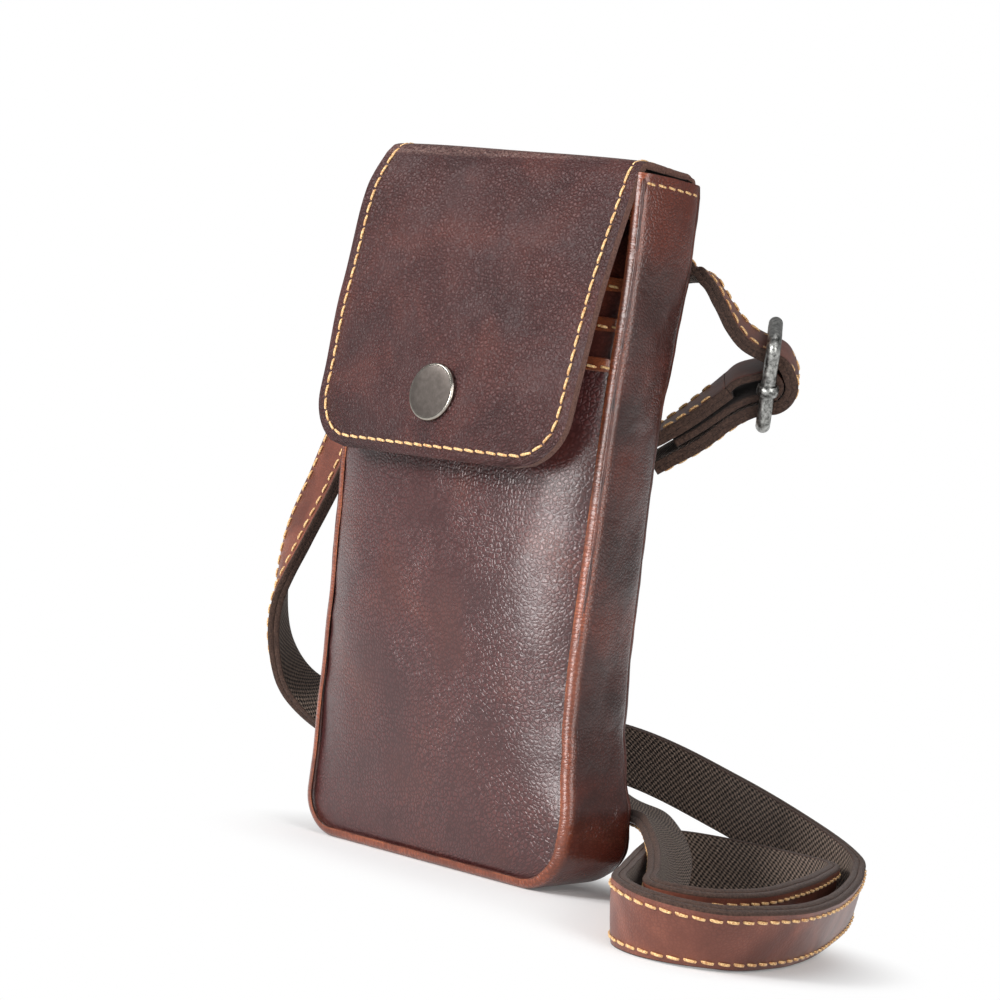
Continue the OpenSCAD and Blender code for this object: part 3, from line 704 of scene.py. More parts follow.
def build_front():
    front_sheet("front_panel_leather", "front_panel", stack_z, slot_low_z, 0.0, panel_t, 61, 70,
                panel_looks, 0.45)
    for node, top, off in (("card_slot_low", low_top, low_off), ("card_slot_high", high_top, high_off)):
        front_sheet(node + "_leather", node, top - slot_depth, top, off, slot_t, 41, 24, card_looks, 0.2,
                    round_low=False)
    front_sheet("inner_wall_leather", "inner_front_wall", stack_z, wall_top_z, wall_off, panel_t, 41, 44,
                card_looks, 0.15)
    front_sheet("front_lining_cloth", "front_lining", stack_z, wall_top_z - lining_drop, lining_off, lining_t,
                31, 30, lining_looks)
    edges = (
        ("front_panel_hem", slot_low_z, 0.0, panel_t), ("card_hem_low", low_top, low_off, slot_t),
        ("card_hem_high", high_top, high_off, slot_t), ("inner_wall_hem", wall_top_z, wall_off, panel_t))
    for edge in edges:
        hem_roll(*edge)
    sewn = stitches("card_edge_stitches", [card_edge_row(top, off) for _, top, off, _ in edges])
    dress(sewn, "pouch", "card_slot_low")


# Side and bottom band, its lining, and the seam rolls
band_columns = 27
band_front_reach = 3.0
band_back_reach = 0.7
turned_from = 0.82
turned_drop = 2.1
band_puff = 1.1
shoulder_drop = 1.3
hem_stitch_drop = 2.6
hem_stitch = (3.3, 0.8, 0.34)
band_lining_half = 8.3
band_lining_gap = 0.35


def u_path(half, r, low, high, steps=14, rise_steps=60, foot_steps=24):
    """Outline (x, z) from the left mouth down and round to the right mouth, with outward normals."""
    rise = high - low - r
    pts = [(-half, high - rise * k / rise_steps) for k in range(rise_steps)]
    nrm = [(-1.0, 0.0)] * rise_steps
    pts += arc(-half + r, low + r, r, 180, steps)
    nrm += arc(0, 0, 1, 180, steps)
    pts += [(-half + r + 2 * (half - r) * k / foot_steps, low) for k in range(1, foot_steps)]
    nrm += [(0.0, -1.0)] * (foot_steps - 1)
    pts += arc(half - r, low + r, r, 270, steps)
    nrm += arc(0, 0, 1, 270, steps)
    pts += [(half, low + r + rise * k / rise_steps) for k in range(1, rise_steps + 1)]
    nrm += [(1.0, 0.0)] * rise_steps
    return pts, nrm


def band_y(v):
    """Depth at share v of the side band's width; its front edge turns over the seam roll."""
    return v * (gusset_half_d + (band_back_reach if v > 0 else band_front_reach))


def turned_share(v):
    """0 over the side band, rising to 1 at its turned front edge."""
    return max(0.0, (-v - turned_from) / (1 - turned_from))


def shoulder_share(v):
    """0 over the back of the band, rising to 1 at its front."""
    return max(0.0, (-v - 0.1) / 0.9)


def band_out(x, z, nz, v):
    """How far the side band stands out from its line at height z and share v of its width."""
    lower = smoothstep(-nz, 0.2, 0.9)
    puff = band_puff * (1 - lower) * (1 - abs(v) ** 3)
    if v > 0:
        puff -= 0.5 * v ** 24 * (1 - 0.5 * lower)
    puff -= shoulder_drop * shoulder_share(v) ** 2 * (1 - lower) * smoothstep(z, 10, 90)
    puff -= turned_drop * (1 - math.sqrt(max(0.0, 1 - turned_share(v) ** 2)))
    dents = wobble((x, 14 * v, z), 15, 0.5, 2.0) + wobble((x, 14 * v, z), 6, 0.18, 7.0)
    dents += wobble((x, 9 * v, z), 2.8, 0.15, 4.0) * smoothstep(z, 120, 175)
    puff += dents * (1 - abs(v) ** 4) * (1 - lower)
    return puff - 0.45 * smoothstep(z, body_h - 4.2, body_h - 2.6) * smoothstep(body_h - 0.8 - z, 0, 1.6)


def build_band():
    """Side and bottom band: puffed between its seams, with soft dents and a turned top hem."""
    pts, nrm = u_path(half_w, corner_r, 0.0, body_h)
    run = arc_lengths(pts)
    across = [math.sin(math.pi * (k / (band_columns - 1) - 0.5)) for k in range(band_columns)]

    def place(i, j, inside):
        (x, z), (nx, nz) = pts[i], nrm[i]
        v = across[j]
        out = band_out(x, z, nz, v)
        if inside:
            out -= gusset_t * (1 - 0.7 * turned_share(v))
        height = z + nz * out
        return settle((x + nx * out, band_y(v), height if inside else max(0.02, height)))

    def uv(i, j):
        return (band_y(across[j]), run[i])

    band = shell("gusset_leather", len(pts), band_columns, place, uv, ["gusset", "burnish", "flesh"])
    dress(band, "pouch", "gusset", "gusset")
    rows = []
    z = body_h - hem_stitch_drop
    shares = [-0.88 + 1.85 * k / 29 for k in range(30)]
    for side in (-1, 1):
        outs = [side * (half_w + band_out(side * half_w, z, 0.0, v)) for v in shares]
        points = [settle((x, band_y(v), z)) for x, v in zip(outs, shares)]
        rows.append((points, [(side, -0.6 * shoulder_share(v), 0) for v in shares], hem_stitch))
    dress(stitches("gusset_hem_stitches", rows), "pouch", "gusset")


def build_band_lining():
    inset = gusset_t + layer_gap
    pts, nrm = u_path(half_w - inset, corner_r - inset, inset, body_h - lining_drop)
    run = arc_lengths(pts)
    across = [-1 + 2 * k / 9 for k in range(10)]

    def place(i, j, inside):
        (x, z), (nx, nz) = pts[i], nrm[i]
        depth = lining_t if inside else 0
        return settle((x - nx * (depth + band_lining_gap), across[j] * band_lining_half, z - nz * depth))

    def uv(i, j):
        return (across[j] * 8, run[i])

    cloth = shell("gusset_lining_cloth", len(pts), len(across), place, uv, lining_looks, 0.1)
    dress(cloth, "pouch", "gusset_lining", "gusset_lining")


def build_seam_roll(name, node, y, bulge, sunk):
    """Turned seam roll along the outline: slightly flattened and puckered tube."""
    pts, nrm = u_path(half_w - bead_r, corner_r - bead_r, bead_r, body_h)
    run = arc_lengths(pts)
    rings = []
    uvs = []
    for i, ((x, z), (nx, nz)) in enumerate(zip(pts, nrm)):
        r = bead_r * (1 + 0.09 * math.sin(run[i] / 1.7) * math.sin(run[i] / 7.3))
        if i in (0, len(pts) - 1):
            r *= 0.55
        ring = []
        for m, (c, s) in enumerate(circle(10)):
            out = c * r * 0.8 - sunk
            ring.append(settle((x + nx * out, y + s * r * bulge, max(0.03, z + nz * out))))
            uvs.append((m * 0.7 + 700, run[i]))
        rings.append(ring)
    dress(ring_piece(name, rings, ["bead"], uvs), "pouch", node, node)


# Flap: one sheet up the back panel, over both folds and down the front
back_count = 46
back_end_z = 185.0
turn_start = 44
turn_end = 60
settle_end = 50
split_row = 58
front_count = 60
flap_lift_right = 0.8
flap_lift_left = 3.3
flap_corner_cut = 3.2
flap_skew = 1.26
strip_droop = 1.1
flap_spread = [(107, 0.9), (125, 1.3), (150, 2.2), (168, 2.4), (180, 1.9), (190, 1.0)]
flap_billow = [(107, 0.9), (125, 1.4), (150, 2.2), (172, 2.8), (186, 2.2), (190, 1.4)]
flap_stitch = (3.75, 0.45, 0.38)
flap_stitch_inset = 3.0
flap_lining_inset = 2.4
crease_back_z = 185.6
crease_front_z = 185.4
crease_high_z = 190.6


def flap_profile():
    """Points (y, z) of the outer face, from the bottom of the back panel to the top of the flap's front."""
    pts = [(back_out_y, stack_z + (back_end_z - stack_z) * k / (back_count - 1)) for k in range(back_count)]
    y0 = back_out_y - back_fold_r
    y1 = flap_top_y + front_fold_r
    pts += arc(y0, flap_top_z - back_fold_r, back_fold_r, 0, 8)
    pts += [(y0 + (y1 - y0) * k / 7, flap_top_z) for k in range(1, 7)]
    return pts + arc(y1, flap_top_z - front_fold_r, front_fold_r, 90, 8)[:-1]


def line_normals(pts):
    out = []
    for k in range(len(pts)):
        a = pts[max(0, k - 1)]
        b = pts[min(len(pts) - 1, k + 1)]
        size = math.dist(a, b)
        out.append(((b[1] - a[1]) / size, (a[0] - b[0]) / size))
    return out


flap_us = spread(47, 0.4)
flap_cols = len(flap_us)
flap_over = flap_profile()
over_normals = line_normals(flap_over)
over_count = len(flap_over)
front_top_z = flap_top_z - front_fold_r
front_zs = [front_top_z - (front_top_z - flap_low_z) * (k / front_count) for k in range(1, front_count + 1)]
flap_rows = over_count + front_count


def flap_settle(p):
    """The worn flap stands up and out towards its left edge."""
    x, y, z = p
    left = min(1.0, max(0.0, (1 - x / flap_half) / 2))
    forward = smoothstep(-y, -back_out_y, 8.0)
    lift = (flap_lift_right + flap_lift_left * left ** 1.6) * forward
    lift *= 1 - smoothstep(flap_top_z - z, 2.0, 62.0)
    edge = max(0.0, left * 2 - 1)
    out = forward * table_value(z, flap_spread) * edge ** 2
    out -= flap_corner_cut * edge ** 2 * smoothstep(z, 175.0, 189.0)
    billow = forward * table_value(z, flap_billow) * edge ** 1.5
    return (x - out, y - billow, z + lift)


def flap_half_at(i):
    if i < back_count:
        return outline_half(stack_half, stack_corner, stack_z, flap_over[i][1])
    if i < over_count:
        return stack_half + (flap_half - stack_half) * (i - back_count) / (over_count - back_count)
    return outline_half(flap_half, flap_corner_r, flap_low_z, front_zs[i - over_count])


def flap_t_at(i):
    share = min(1.0, max(0.0, (i - turn_start) / (turn_end - turn_start)))
    return back_t + (flap_t - back_t) * share


def flap_point(i, j):
    """Point of the flap's outer face and its outward normal."""
    u = flap_us[j]
    x = u * flap_half_at(i)
    if i < over_count:
        y, z = flap_over[i]
        near = smoothstep(i, turn_start, turn_end)
        z -= strip_droop * near * abs(u) ** 3 * (1 - smoothstep(i, over_count - 6, over_count))
        p = (x, y, z)
        if i < settle_end:
            q = settle(p)
            p = (q[0] + (x - q[0]) * near, q[1], q[2])
        if i >= back_count:
            p = flap_settle(p)
        return p, (0.0, *over_normals[i])
    z = front_zs[i - over_count]
    share = x / flap_half
    y = flap_y(share, z) - flap_skew * u * smoothstep(flap_top_z - z, 0, 40)
    y += wobble((x, 0, z), 30, 0.5, 1.7) * smoothstep(flap_top_z - z, 4, 30)
    slope = flap_y(share, z + 0.5) - flap_y(share, z - 0.5)
    size = math.hypot(1, slope)
    return flap_settle((x, y, z)), (0.0, -1 / size, slope / size)


flap_grid = [[flap_point(i, j) for j in range(flap_cols)] for i in range(flap_rows)]
flap_run = arc_lengths([(0, row[flap_cols // 2][0][1], row[flap_cols // 2][0][2]) for row in flap_grid])
back_crease = ("pouch", "flap_top", (0, (back_out_y - 0.2) * MM, crease_back_z * MM),
               (0, (back_out_y - 5.2) * MM, crease_high_z * MM))
front_crease = ("flap_top", "flap", (0, (flap_top_y + 5.6) * MM, crease_high_z * MM),
                (0, (flap_top_y + 0.4) * MM, crease_front_z * MM))


def flap_sheet(name, first, last, place, looks, edge_round):
    """A stretch of the flap's sheet, from row first to row last."""
    def shifted(i, j, inside):
        return place(first + i, j, inside)

    def uv(i, j):
        return (flap_us[j] * flap_half + 900, flap_run[first + i])

    return shell(name, last - first + 1, flap_cols, shifted, uv, looks, edge_round)


def build_flap():
    def leather_place(i, j, inside):
        p, n = flap_grid[i][j]
        t = flap_t_at(i) if inside else 0
        return (p[0] - n[0] * t, p[1] - n[1] * t, p[2] - n[2] * t)

    def lining_place(i, j, inside):
        p, n = flap_grid[i][j]
        z = p[2]
        low = flap_low_z + 2.2
        if i > over_count and z < low + 2:
            z = max(z, low + (z - flap_low_z) * 0.5)
        t = flap_t_at(i) + layer_gap + (flap_lining_t if inside else 0)
        return (p[0] * (1 - flap_lining_inset / flap_half), p[1] - n[1] * t, z - n[2] * t)

    looks = ["front", "flap_edge", "flesh"]
    back = flap_sheet("flap_back_leather", 0, split_row, leather_place, looks, 0.45)
    looks = ["flap", "flap_edge", "flesh"]
    front = flap_sheet("flap_front_leather", split_row, flap_rows - 1, leather_place, looks, 0.45)
    dress(back, back_crease, "back_panel", "back_panel")
    dress(front, front_crease, "flap_front", "flap_front", "flap_top_strip")
    under = ["flesh", "flesh", "flesh"]
    top = flap_sheet("flap_lining_top", back_count + 3, split_row, lining_place, under, 0.15)
    dress(top, back_crease, "flap_top_lining", "flap_top_lining")
    front = flap_sheet("flap_lining_front", split_row, flap_rows - 3, lining_place, under, 0.15)
    dress(front, front_crease, "flap_lining", "flap_lining")


def flap_surface(x, i):
    """Point and normal of the flap's outer face at row i and width x of the plain flap."""
    u = x / flap_half_at(i)
    j = min(max(int(np.searchsorted(flap_us, u)) - 1, 0), flap_cols - 2)
    f = (u - flap_us[j]) / (flap_us[j + 1] - flap_us[j])
    a, n = flap_grid[i][j]
    b, _ = flap_grid[i][j + 1]
    return tuple(a[k] + (b[k] - a[k]) * f for k in range(3)), n


def flap_face(x, z):
    """Point and normal of the flap's front at width x and height z of the plain flap."""
    k = (front_top_z - z) / (front_top_z - flap_low_z) * front_count
    r = over_count + min(max(k - 1, 0.0), front_count - 1.0)
    i = int(r)
    p, n = flap_surface(x, i)
    q, _ = flap_surface(x, min(i + 1, flap_rows - 1))
    return tuple(p[k] + (q[k] - p[k]) * (r - i) for k in range(3)), n


def stitched(spots):
    """A stitch row from (point, normal) spots."""
    return [p for p, _ in spots], [n for _, n in spots], flap_stitch


def build_flap_sewing():
    """Stitches round three sides of the flap and on over both folds."""
    inner_x = flap_half - flap_stitch_inset
    bend_z = flap_low_z + flap_corner_r
    bend_x = flap_half - flap_corner_r
    start_z = flap_top_z - 3.2
    half_path = [(inner_x, start_z - k) for k in range(int(start_z - bend_z))]
    half_path += reversed(arc(bend_x, bend_z, flap_corner_r - flap_stitch_inset, 270, 10))
    bottom = [(bend_x * (1 - 2 * k / 40), flap_low_z + flap_stitch_inset) for k in range(1, 40)]
    whole = half_path + bottom + [(-x, z) for x, z in reversed(half_path)]

    def edge_rows(first, last):
        """Stitches along both edges, from row first to row last."""
        sides = [[flap_surface(side * inner_x, i) for i in range(first, last + 1)] for side in (-1, 1)]
        return [stitched(spots) for spots in sides]

    rows = [stitched([flap_face(x, z) for x, z in whole])] + edge_rows(split_row, over_count + 1)
    dress(stitches("flap_stitches", rows), front_crease, "flap_front")
    dress(stitches("flap_back_stitches", edge_rows(back_count, split_row)), back_crease, "back_panel")


def build_back_lining():
    zs = levels(stack_z, body_h - lining_drop, stack_corner, 30)

    def place(i, j, inside):
        x = (-1 + j / 10) * outline_half(stack_half, stack_corner, stack_z, zs[i])
        return settle((x, back_in_y - layer_gap - (lining_t if inside else 0), zs[i]))

    def uv(i, j):
        return (j * 4.5, zs[i])

    cloth = shell("back_lining_cloth", len(zs), 21, place, uv, lining_looks, 0.1)
    dress(cloth, "pouch", "back_lining", "back_lining")


# Snap
snap_z = 124.0
snap_tilt = math.radians(6.46)
snap_seat = 0.1
cap_profile = (
    (0, 1.62, 0), (4.6, 1.58, 0), (6.9, 1.5, 1), (7.05, 1.47, 1), (7.2, 1.5, 1), (7.45, 1.44, 1),
    (7.68, 1.2, 1), (7.8, 0.9, 1), (7.72, 0.45, 1), (7.4, 0.1, 1), (6.6, -0.1, 1), (2.2, -0.15, 1),
    (2.0, -3.0, 1), (0, -3.0, 1))


def lathe(name, profile, centre, axis, materials, steps):
    """Turned piece that starts and ends on its axis: profile is (radius, height, material) from centre."""
    axis = Vector(axis).normalized()
    side = axis.cross(Vector((1, 0, 0))).normalized()
    other = axis.cross(side)
    verts = []
    for r, h, _ in profile:
        middle = Vector(centre) + axis * h
        ring = circle(steps) if r else [(0, 0)]
        verts += [tuple(middle + side * r * c + other * r * s) for c, s in ring]
    faces = []
    kinds = []
    last = len(verts) - 1
    for p, (_, _, kind) in enumerate(profile[:-1]):
        a = 1 + (p - 1) * steps
        for k in range(steps):
            n = (k + 1) % steps
            if p == 0:
                faces.append((0, 1 + n, 1 + k))
            elif p == len(profile) - 2:
                faces.append((a + k, a + n, last))
            else:
                faces.append((a + k, a + n, a + steps + n, a + steps + k))
            kinds.append(kind)
    return closed_object(name, verts, faces, materials, kinds)


def build_snap():
    axis = Vector((0, -math.cos(snap_tilt), math.sin(snap_tilt)))
    base = Vector((0, flap_y(0, snap_z), snap_z)) + axis * snap_seat
    cap = lathe("snap_cap_face", cap_profile, base, axis, ["cap", "rim"], 96)
    dress(cap, "flap", "snap_cap", "snap_cap")
    for node in ("snap_socket", "snap_stud", "snap_washer"):
        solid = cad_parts[node]
        solid.data.materials.clear()
        solid.data.materials.append(M["steel"])


# Strap route: shares of half_w, strap_w and body_h (of strap_w by the floor), then the width's direction
left_upper_shares = [
    [-0.05, 0, 0.87, 0, 0, -1], [-0.21, 0, 0.87, 0, 0, -1], [-0.37, 0.015, 0.87, 0, 0, -1],
    [-0.64, 0.12, 0.885, 0, 0.3, -1], [-0.92, 0.28, 0.895, -0.3, 0.8, -0.7],
    [-1.16, 0.24, 0.88, -0.6, 0.9, -0.3], [-1.31, 0.1, 0.82, -0.74, 0.67, 0],
    [-1.41, 0, 0.73, -0.92, 0.38, 0.1], [-1.48, -0.15, 0.62, -0.95, 0.28, 0.15],
    [-1.59, -0.25, 0.525, -0.95, 0.3, 0.12], [-1.75, -0.3, 0.425, -0.9, 0.42, 0.1],
    [-1.84, -0.3, 0.325, -0.68, 0.73, 0], [-1.81, -0.15, 0.245, -0.5, 0.85, 0.1]]
floor_shares = [
    [-1.66, 0.15, 2.15, -0.25, 0.9, 0.4], [-1.33, 0.7, 1.75, 0, 0.55, 0.85], [-0.88, 1.4, 1.8, 0.1, 0.2, 1],
    [-0.3, 1.85, 2.05, 0.1, 0.05, 1], [0.42, 2.15, 2, 0.15, 0, 1], [1.04, 2.6, 1.51, 0.2, 0, 1],
    [1.56, 2.82, 1, 0.15, 0, 1], [1.92, 2.54, 0.68, 0.1, 0.05, 1], [2.13, 1.72, 0.56, 0.15, 0.1, 1],
    [2.36, 0.43, 0.515, 0.35, 0, 1], [2.6, -1.1, 0.515, 0.5, -0.2, 1], [2.73, -2.5, 0.515, 0.5, -0.35, 1],
    [2.68, -3.7, 0.515, 0.3, -0.55, 1], [2.4, -4.17, 0.515, 0, -0.4, 1],
    [2.07, -3.82, 0.515, -0.1, -0.08, 1],
    [1.81, -2.72, 0.515, -0.15, 0, 1], [1.53, -1.46, 0.515, -0.12, 0, 1], [1.23, -0.05, 0.515, -0.1, 0, 1],
    [0.97, 1.05, 0.515, 0, 0, 1], [1, 1.75, 0.515, 0, 0.05, 1], [1.28, 2.1, 0.515, 0, 0.05, 1],
    [1.64, 2.16, 0.52, 0, 0.05, 1], [1.92, 1.93, 0.54, 0.1, 0.05, 1], [2.07, 1.12, 0.53, 0.2, 0, 1],
    [2.25, -0.4, 0.53, 0.4, -0.1, 1], [2.38, -1.85, 0.52, 0.45, -0.25, 1],
    [2.34, -2.86, 0.52, 0.3, -0.45, 1], [2.13, -3.1, 0.52, -0.1, -0.45, 1],
    [1.9, -2.25, 0.54, -0.25, -0.25, 1], [1.62, -1.12, 0.74, -0.5, -0.3, 0.95],
    [1.3, -0.05, 1.08, -0.8, -0.55, 0.65], [0.95, 0.6, 1.27, -0.6, -0.9, 0.15],
    [0.6, 0.98, 1.45, -0.2, -1, 0.3], [0.29, 0.9, 1.98, 0, -1, 0.5]]
riser_shares = [
    [0.04, 0.82, 0.253, 0.15, -1, 0.35], [-0.04, 0.75, 0.333, 0.3, -1, 0.15],
    [0.04, 0.66, 0.419, 0.4, -0.9, 0], [0.21, 0.53, 0.5, 0.5, -0.85, 0],
    [0.4, 0.44, 0.565, 0.6, -0.8, 0.03], [0.58, 0.38, 0.619, 0.63, -0.77, -0.08]]
short_anchor_shares = [
    [0.05, 0, 0.87, 0, 0, 1], [0.21, 0, 0.87, 0, 0, 1], [0.37, 0.015, 0.87, 0, 0, 1],
    [0.6, 0.16, 0.893, 0.35, -0.3, 1]]

# Route by the slider: shares of strap_w along and up from it, then how far the width follows its tilt
wrap_in_shares = [[-1.62, -1.13, 0.55], [-1.18, -0.75, 0.8], [-0.64, -0.2, 1]]
wrap_out_shares = [[-0.2, -0.225, 1], [-0.52, -0.43, 1], [-1.02, -0.89, 0.9], [-1.42, -1.22, 0.78]]
short_in_shares = [
    [-1.4, 1.58, 0.1], [-1.11, 1.4, 0.4], [-0.9, 1.16, 0.7], [-0.7, 0.9, 0.9], [-0.46, 0.68, 1],
    [-0.15, 0.54, 1], [0.18, 0.43, 1]]
short_tail_shares = [
    [-0.22, -0.48, 1], [-0.54, -0.71, 1], [-0.97, -1.15, 0.9], [-1.5, -1.55, 0.78], [-1.72, -1.72, 0.72]]
route_steps = 12
strap_stitch = (4.0, 0.9, 0.42)
strap_stitch_inset = 2.0
long_face = 1.85
short_face = 1.62
stitch_sink = 0.5
strap_looks = ["strap", "edge", "flesh"]
web_looks = ["web", "edge", "web"]


def high_rows(shares):
    return [[x * half_w, strap_seat_y + y * strap_w, z * body_h, *width] for x, y, z, *width in shares]


def floor_rows(shares):
    return [[x * half_w, strap_seat_y + y * strap_w, z * strap_w, *width] for x, y, z, *width in shares]


def slider_axes(k=1.0):
    """Directions across and up the slider, at share k of its tilt."""
    c = math.cos(k * slider_tilt)
    s = math.sin(k * slider_tilt)
    ahead = np.array([math.sin(slider_turn), -math.cos(slider_turn), 0.0])
    upright = np.array([0.0, 0.0, 1.0])
    return c * ahead - s * upright, s * ahead + c * upright


def slider_row(u, v, k=1.0):
    across, up = slider_axes(k)
    return [*(slider_pos + u * slider_u + v * up), *across]


def slider_rows(shares):
    return [slider_row(u * strap_w, v * strap_w, k) for u, v, k in shares]


def slider_arc(r, angles):
    return [slider_row(r * math.cos(math.radians(a)), r * math.sin(math.radians(a))) for a in angles]


def smooth_route(rows):
    """Points with travel, width and leather-side directions along a Catmull-Rom route, and its run."""
    rows = [np.array(r, float) for r in rows]
    ext = [2 * rows[0] - rows[1]] + rows + [2 * rows[-1] - rows[-2]]
    samples = []
    for a, b, c, d in zip(ext, ext[1:], ext[2:], ext[3:]):
        for k in range(route_steps):
            t = k / route_steps
            cubic = (3 * b - a - 3 * c + d) * t ** 3
            samples.append(0.5 * (2 * b + (c - a) * t + (2 * a - 5 * b + 4 * c - d) * t * t + cubic))
    samples = np.array(samples + [rows[-1]])
    p = samples[:, :3]
    w = samples[:, 3:]
    t = np.concatenate([p[1:2] - p[:1], p[2:] - p[:-2], p[-1:] - p[-2:-1]])
    t /= np.linalg.norm(t, axis=1)[:, None]
    w = w - (w * t).sum(1)[:, None] * t
    w /= np.linalg.norm(w, axis=1)[:, None]
    run = np.concatenate([[0], np.cumsum(np.linalg.norm(np.diff(p, axis=0), axis=1))])
    return p, t, w, np.cross(w, t), run


def ring_section(half, low, high, soft, dome):
    """Closed section of a strap layer, counter-clockwise from its top: (across, up, material)."""
    corner = min(soft, (high - low) / 2 - 0.01)
    flat = half - corner
    shoulder = half - corner * 0.3
    crown = high - corner * 0.3 - dome * 0.5
    pts = []
    for k in range(9):
        a = flat - flat * k / 4
        pts.append((a, high + dome * (1 - (a / half) ** 2) - dome * 0.5, 0))
    pts += [(-shoulder, crown, 1), (-half, high - corner, 1), (-half, low + corner, 1)]
    pts.append((-shoulder, low + corner * 0.3, 1))
    pts += [(-flat + flat * k / 2, low, 2) for k in range(5)]
    pts += [(shoulder, low + corner * 0.3, 1), (half, low + corner, 1), (half, high - corner, 1)]
    return pts + [(shoulder, crown, 1)]


def band_piece(name, route, section, looks, seed, wave):
    """Strap layer swept along a route, with slight waves."""
    p, _, w, n, run = route
    rings = []
    uvs = []
    for k in range(len(p)):
        ripple = wave * noise.noise(Vector((run[k] / 13 + seed, seed, 0)))
        ring = []
        for a, b, _ in section:
            sway = wave * 0.6 * noise.noise(Vector((run[k] / 9 + seed, a / 7, 3.3)))
            point = p[k] + a * w[k] + (b + ripple + sway) * n[k]
            point[2] = max(0.05, point[2])
            ring.append(point)
            uvs.append((run[k] + seed * 50, a))
        rings.append(ring)
    layers = [kind for _, _, kind in section]
    sides = [a if a == b else 1 for a, b in zip(layers, layers[1:] + layers[:1])]
    return ring_piece(name, rings, looks, uvs, sides * (len(p) - 1) + [1, 1])


def pressed_at_slider(point):
    """How much the stitches sink where the strap passes the slider's wire."""
    away = np.array(point) - slider_pos
    if np.linalg.norm(away) > strap_w:
        return 0.0
    return stitch_sink * (1 - smoothstep(abs(float(np.dot(away, slider_u))), 3.0, 6.0))


def strap_stitches(name, route, height, slot):
    p, _, w, n, _ = route
    rows = []
    for side in (-1, 1):
        a = side * (strap_w / 2 - strap_stitch_inset)
        points = [p[k] + a * w[k] + (height - pressed_at_slider(p[k])) * n[k] for k in range(len(p) - 4)]
        rows.append((points, n[:len(points)], strap_stitch))
    dress(stitches(name, rows), "pouch", slot)


def build_strap():
    long_rows = high_rows(left_upper_shares) + floor_rows(floor_shares) + high_rows(riser_shares)
    long_route = smooth_route(long_rows + slider_rows(wrap_in_shares))
    short_rows = high_rows(short_anchor_shares) + slider_rows(short_in_shares)
    short_rows += slider_arc(fold_r, (22, -6, -34, -62, -90)) + slider_rows(short_tail_shares)
    short_route = smooth_route(short_rows)
    half = strap_w / 2
    long_section = ring_section(half, -0.2, 1.8, 0.34, 0.25)
    slim_section = ring_section(half - 0.1, -0.2, short_face, 0.34, 0.08)
    web_section = ring_section(half - 0.05, -1.8, -0.12, 0.2, 0.0)
    band = band_piece("strap_long_leather", long_route, long_section, strap_looks, 1.0, 0.12)
    long_nodes = ("strap_left_loop", "strap_rear_run", "strap_outer_loop", "strap_inner_loop", "strap_riser")
    dress(band, "pouch", "strap_left_loop", *long_nodes)
    band = band_piece("strap_short_leather", short_route, slim_section, strap_looks, 2.0, 0.1)
    dress(band, "pouch", "strap_short_upper", "strap_short_upper", "strap_fold", "strap_tail")
    band = band_piece("strap_long_webbing", long_route, web_section, web_looks, 1.0, 0.12)
    dress(band, "pouch", "strap_webbing_long", "strap_webbing_long")
    band = band_piece("strap_short_webbing", short_route, web_section, web_looks, 2.0, 0.1)
    dress(band, "pouch", "strap_webbing_short", "strap_webbing_short")
    strap_stitches("strap_long_stitches", long_route, long_face, "strap_left_loop")
    strap_stitches("strap_short_stitches", short_route, short_face, "strap_short_upper")
    build_wrap(long_route)


def build_wrap(long_route):
    """The long strap's end, thinned and turned round the slider's bar."""
    p, t, _, n, _ = long_route
    start = p[-1] + 0.8 * n[-1] + layer_gap * t[-1]
    rows = [[*(start + step * 2 * wire_r * t[-1]), *slider_axes()[0]] for step in (0, 1)]
    rows.append(slider_row(-wrap_r, wrap_r * 0.72))
    rows += slider_arc(wrap_r, (95, 58, 21, -16, -53, -90)) + slider_rows(wrap_out_shares)
    section = ring_section(strap_w / 2, -1.0, 1.0, 0.45, 0.15)
    wrap = band_piece("slider_wrap_leather", smooth_route(rows), section, strap_looks, 3.0, 0.05)
    dress(wrap, "pouch", "slider_wrap", "slider_wrap")


# Anchor patch and rivets on the back
patch_half_x = 1.15 * strap_w
patch_half_z = 0.72 * strap_w
patch_z = 0.87 * body_h
patch_clear = 0.02
patch_stitch_inset = 2.2
patch_stitch = (3.2, 0.75, 0.34)
rivet_shares = (0.11, 0.23)
rivet_profile = (
    (0, 1.35, 0), (1.6, 1.25, 0), (2.6, 0.95, 0), (3.2, 0.5, 0), (3.5, 0.05, 0), (3.3, -0.05, 0),
    (0, -0.05, 0))


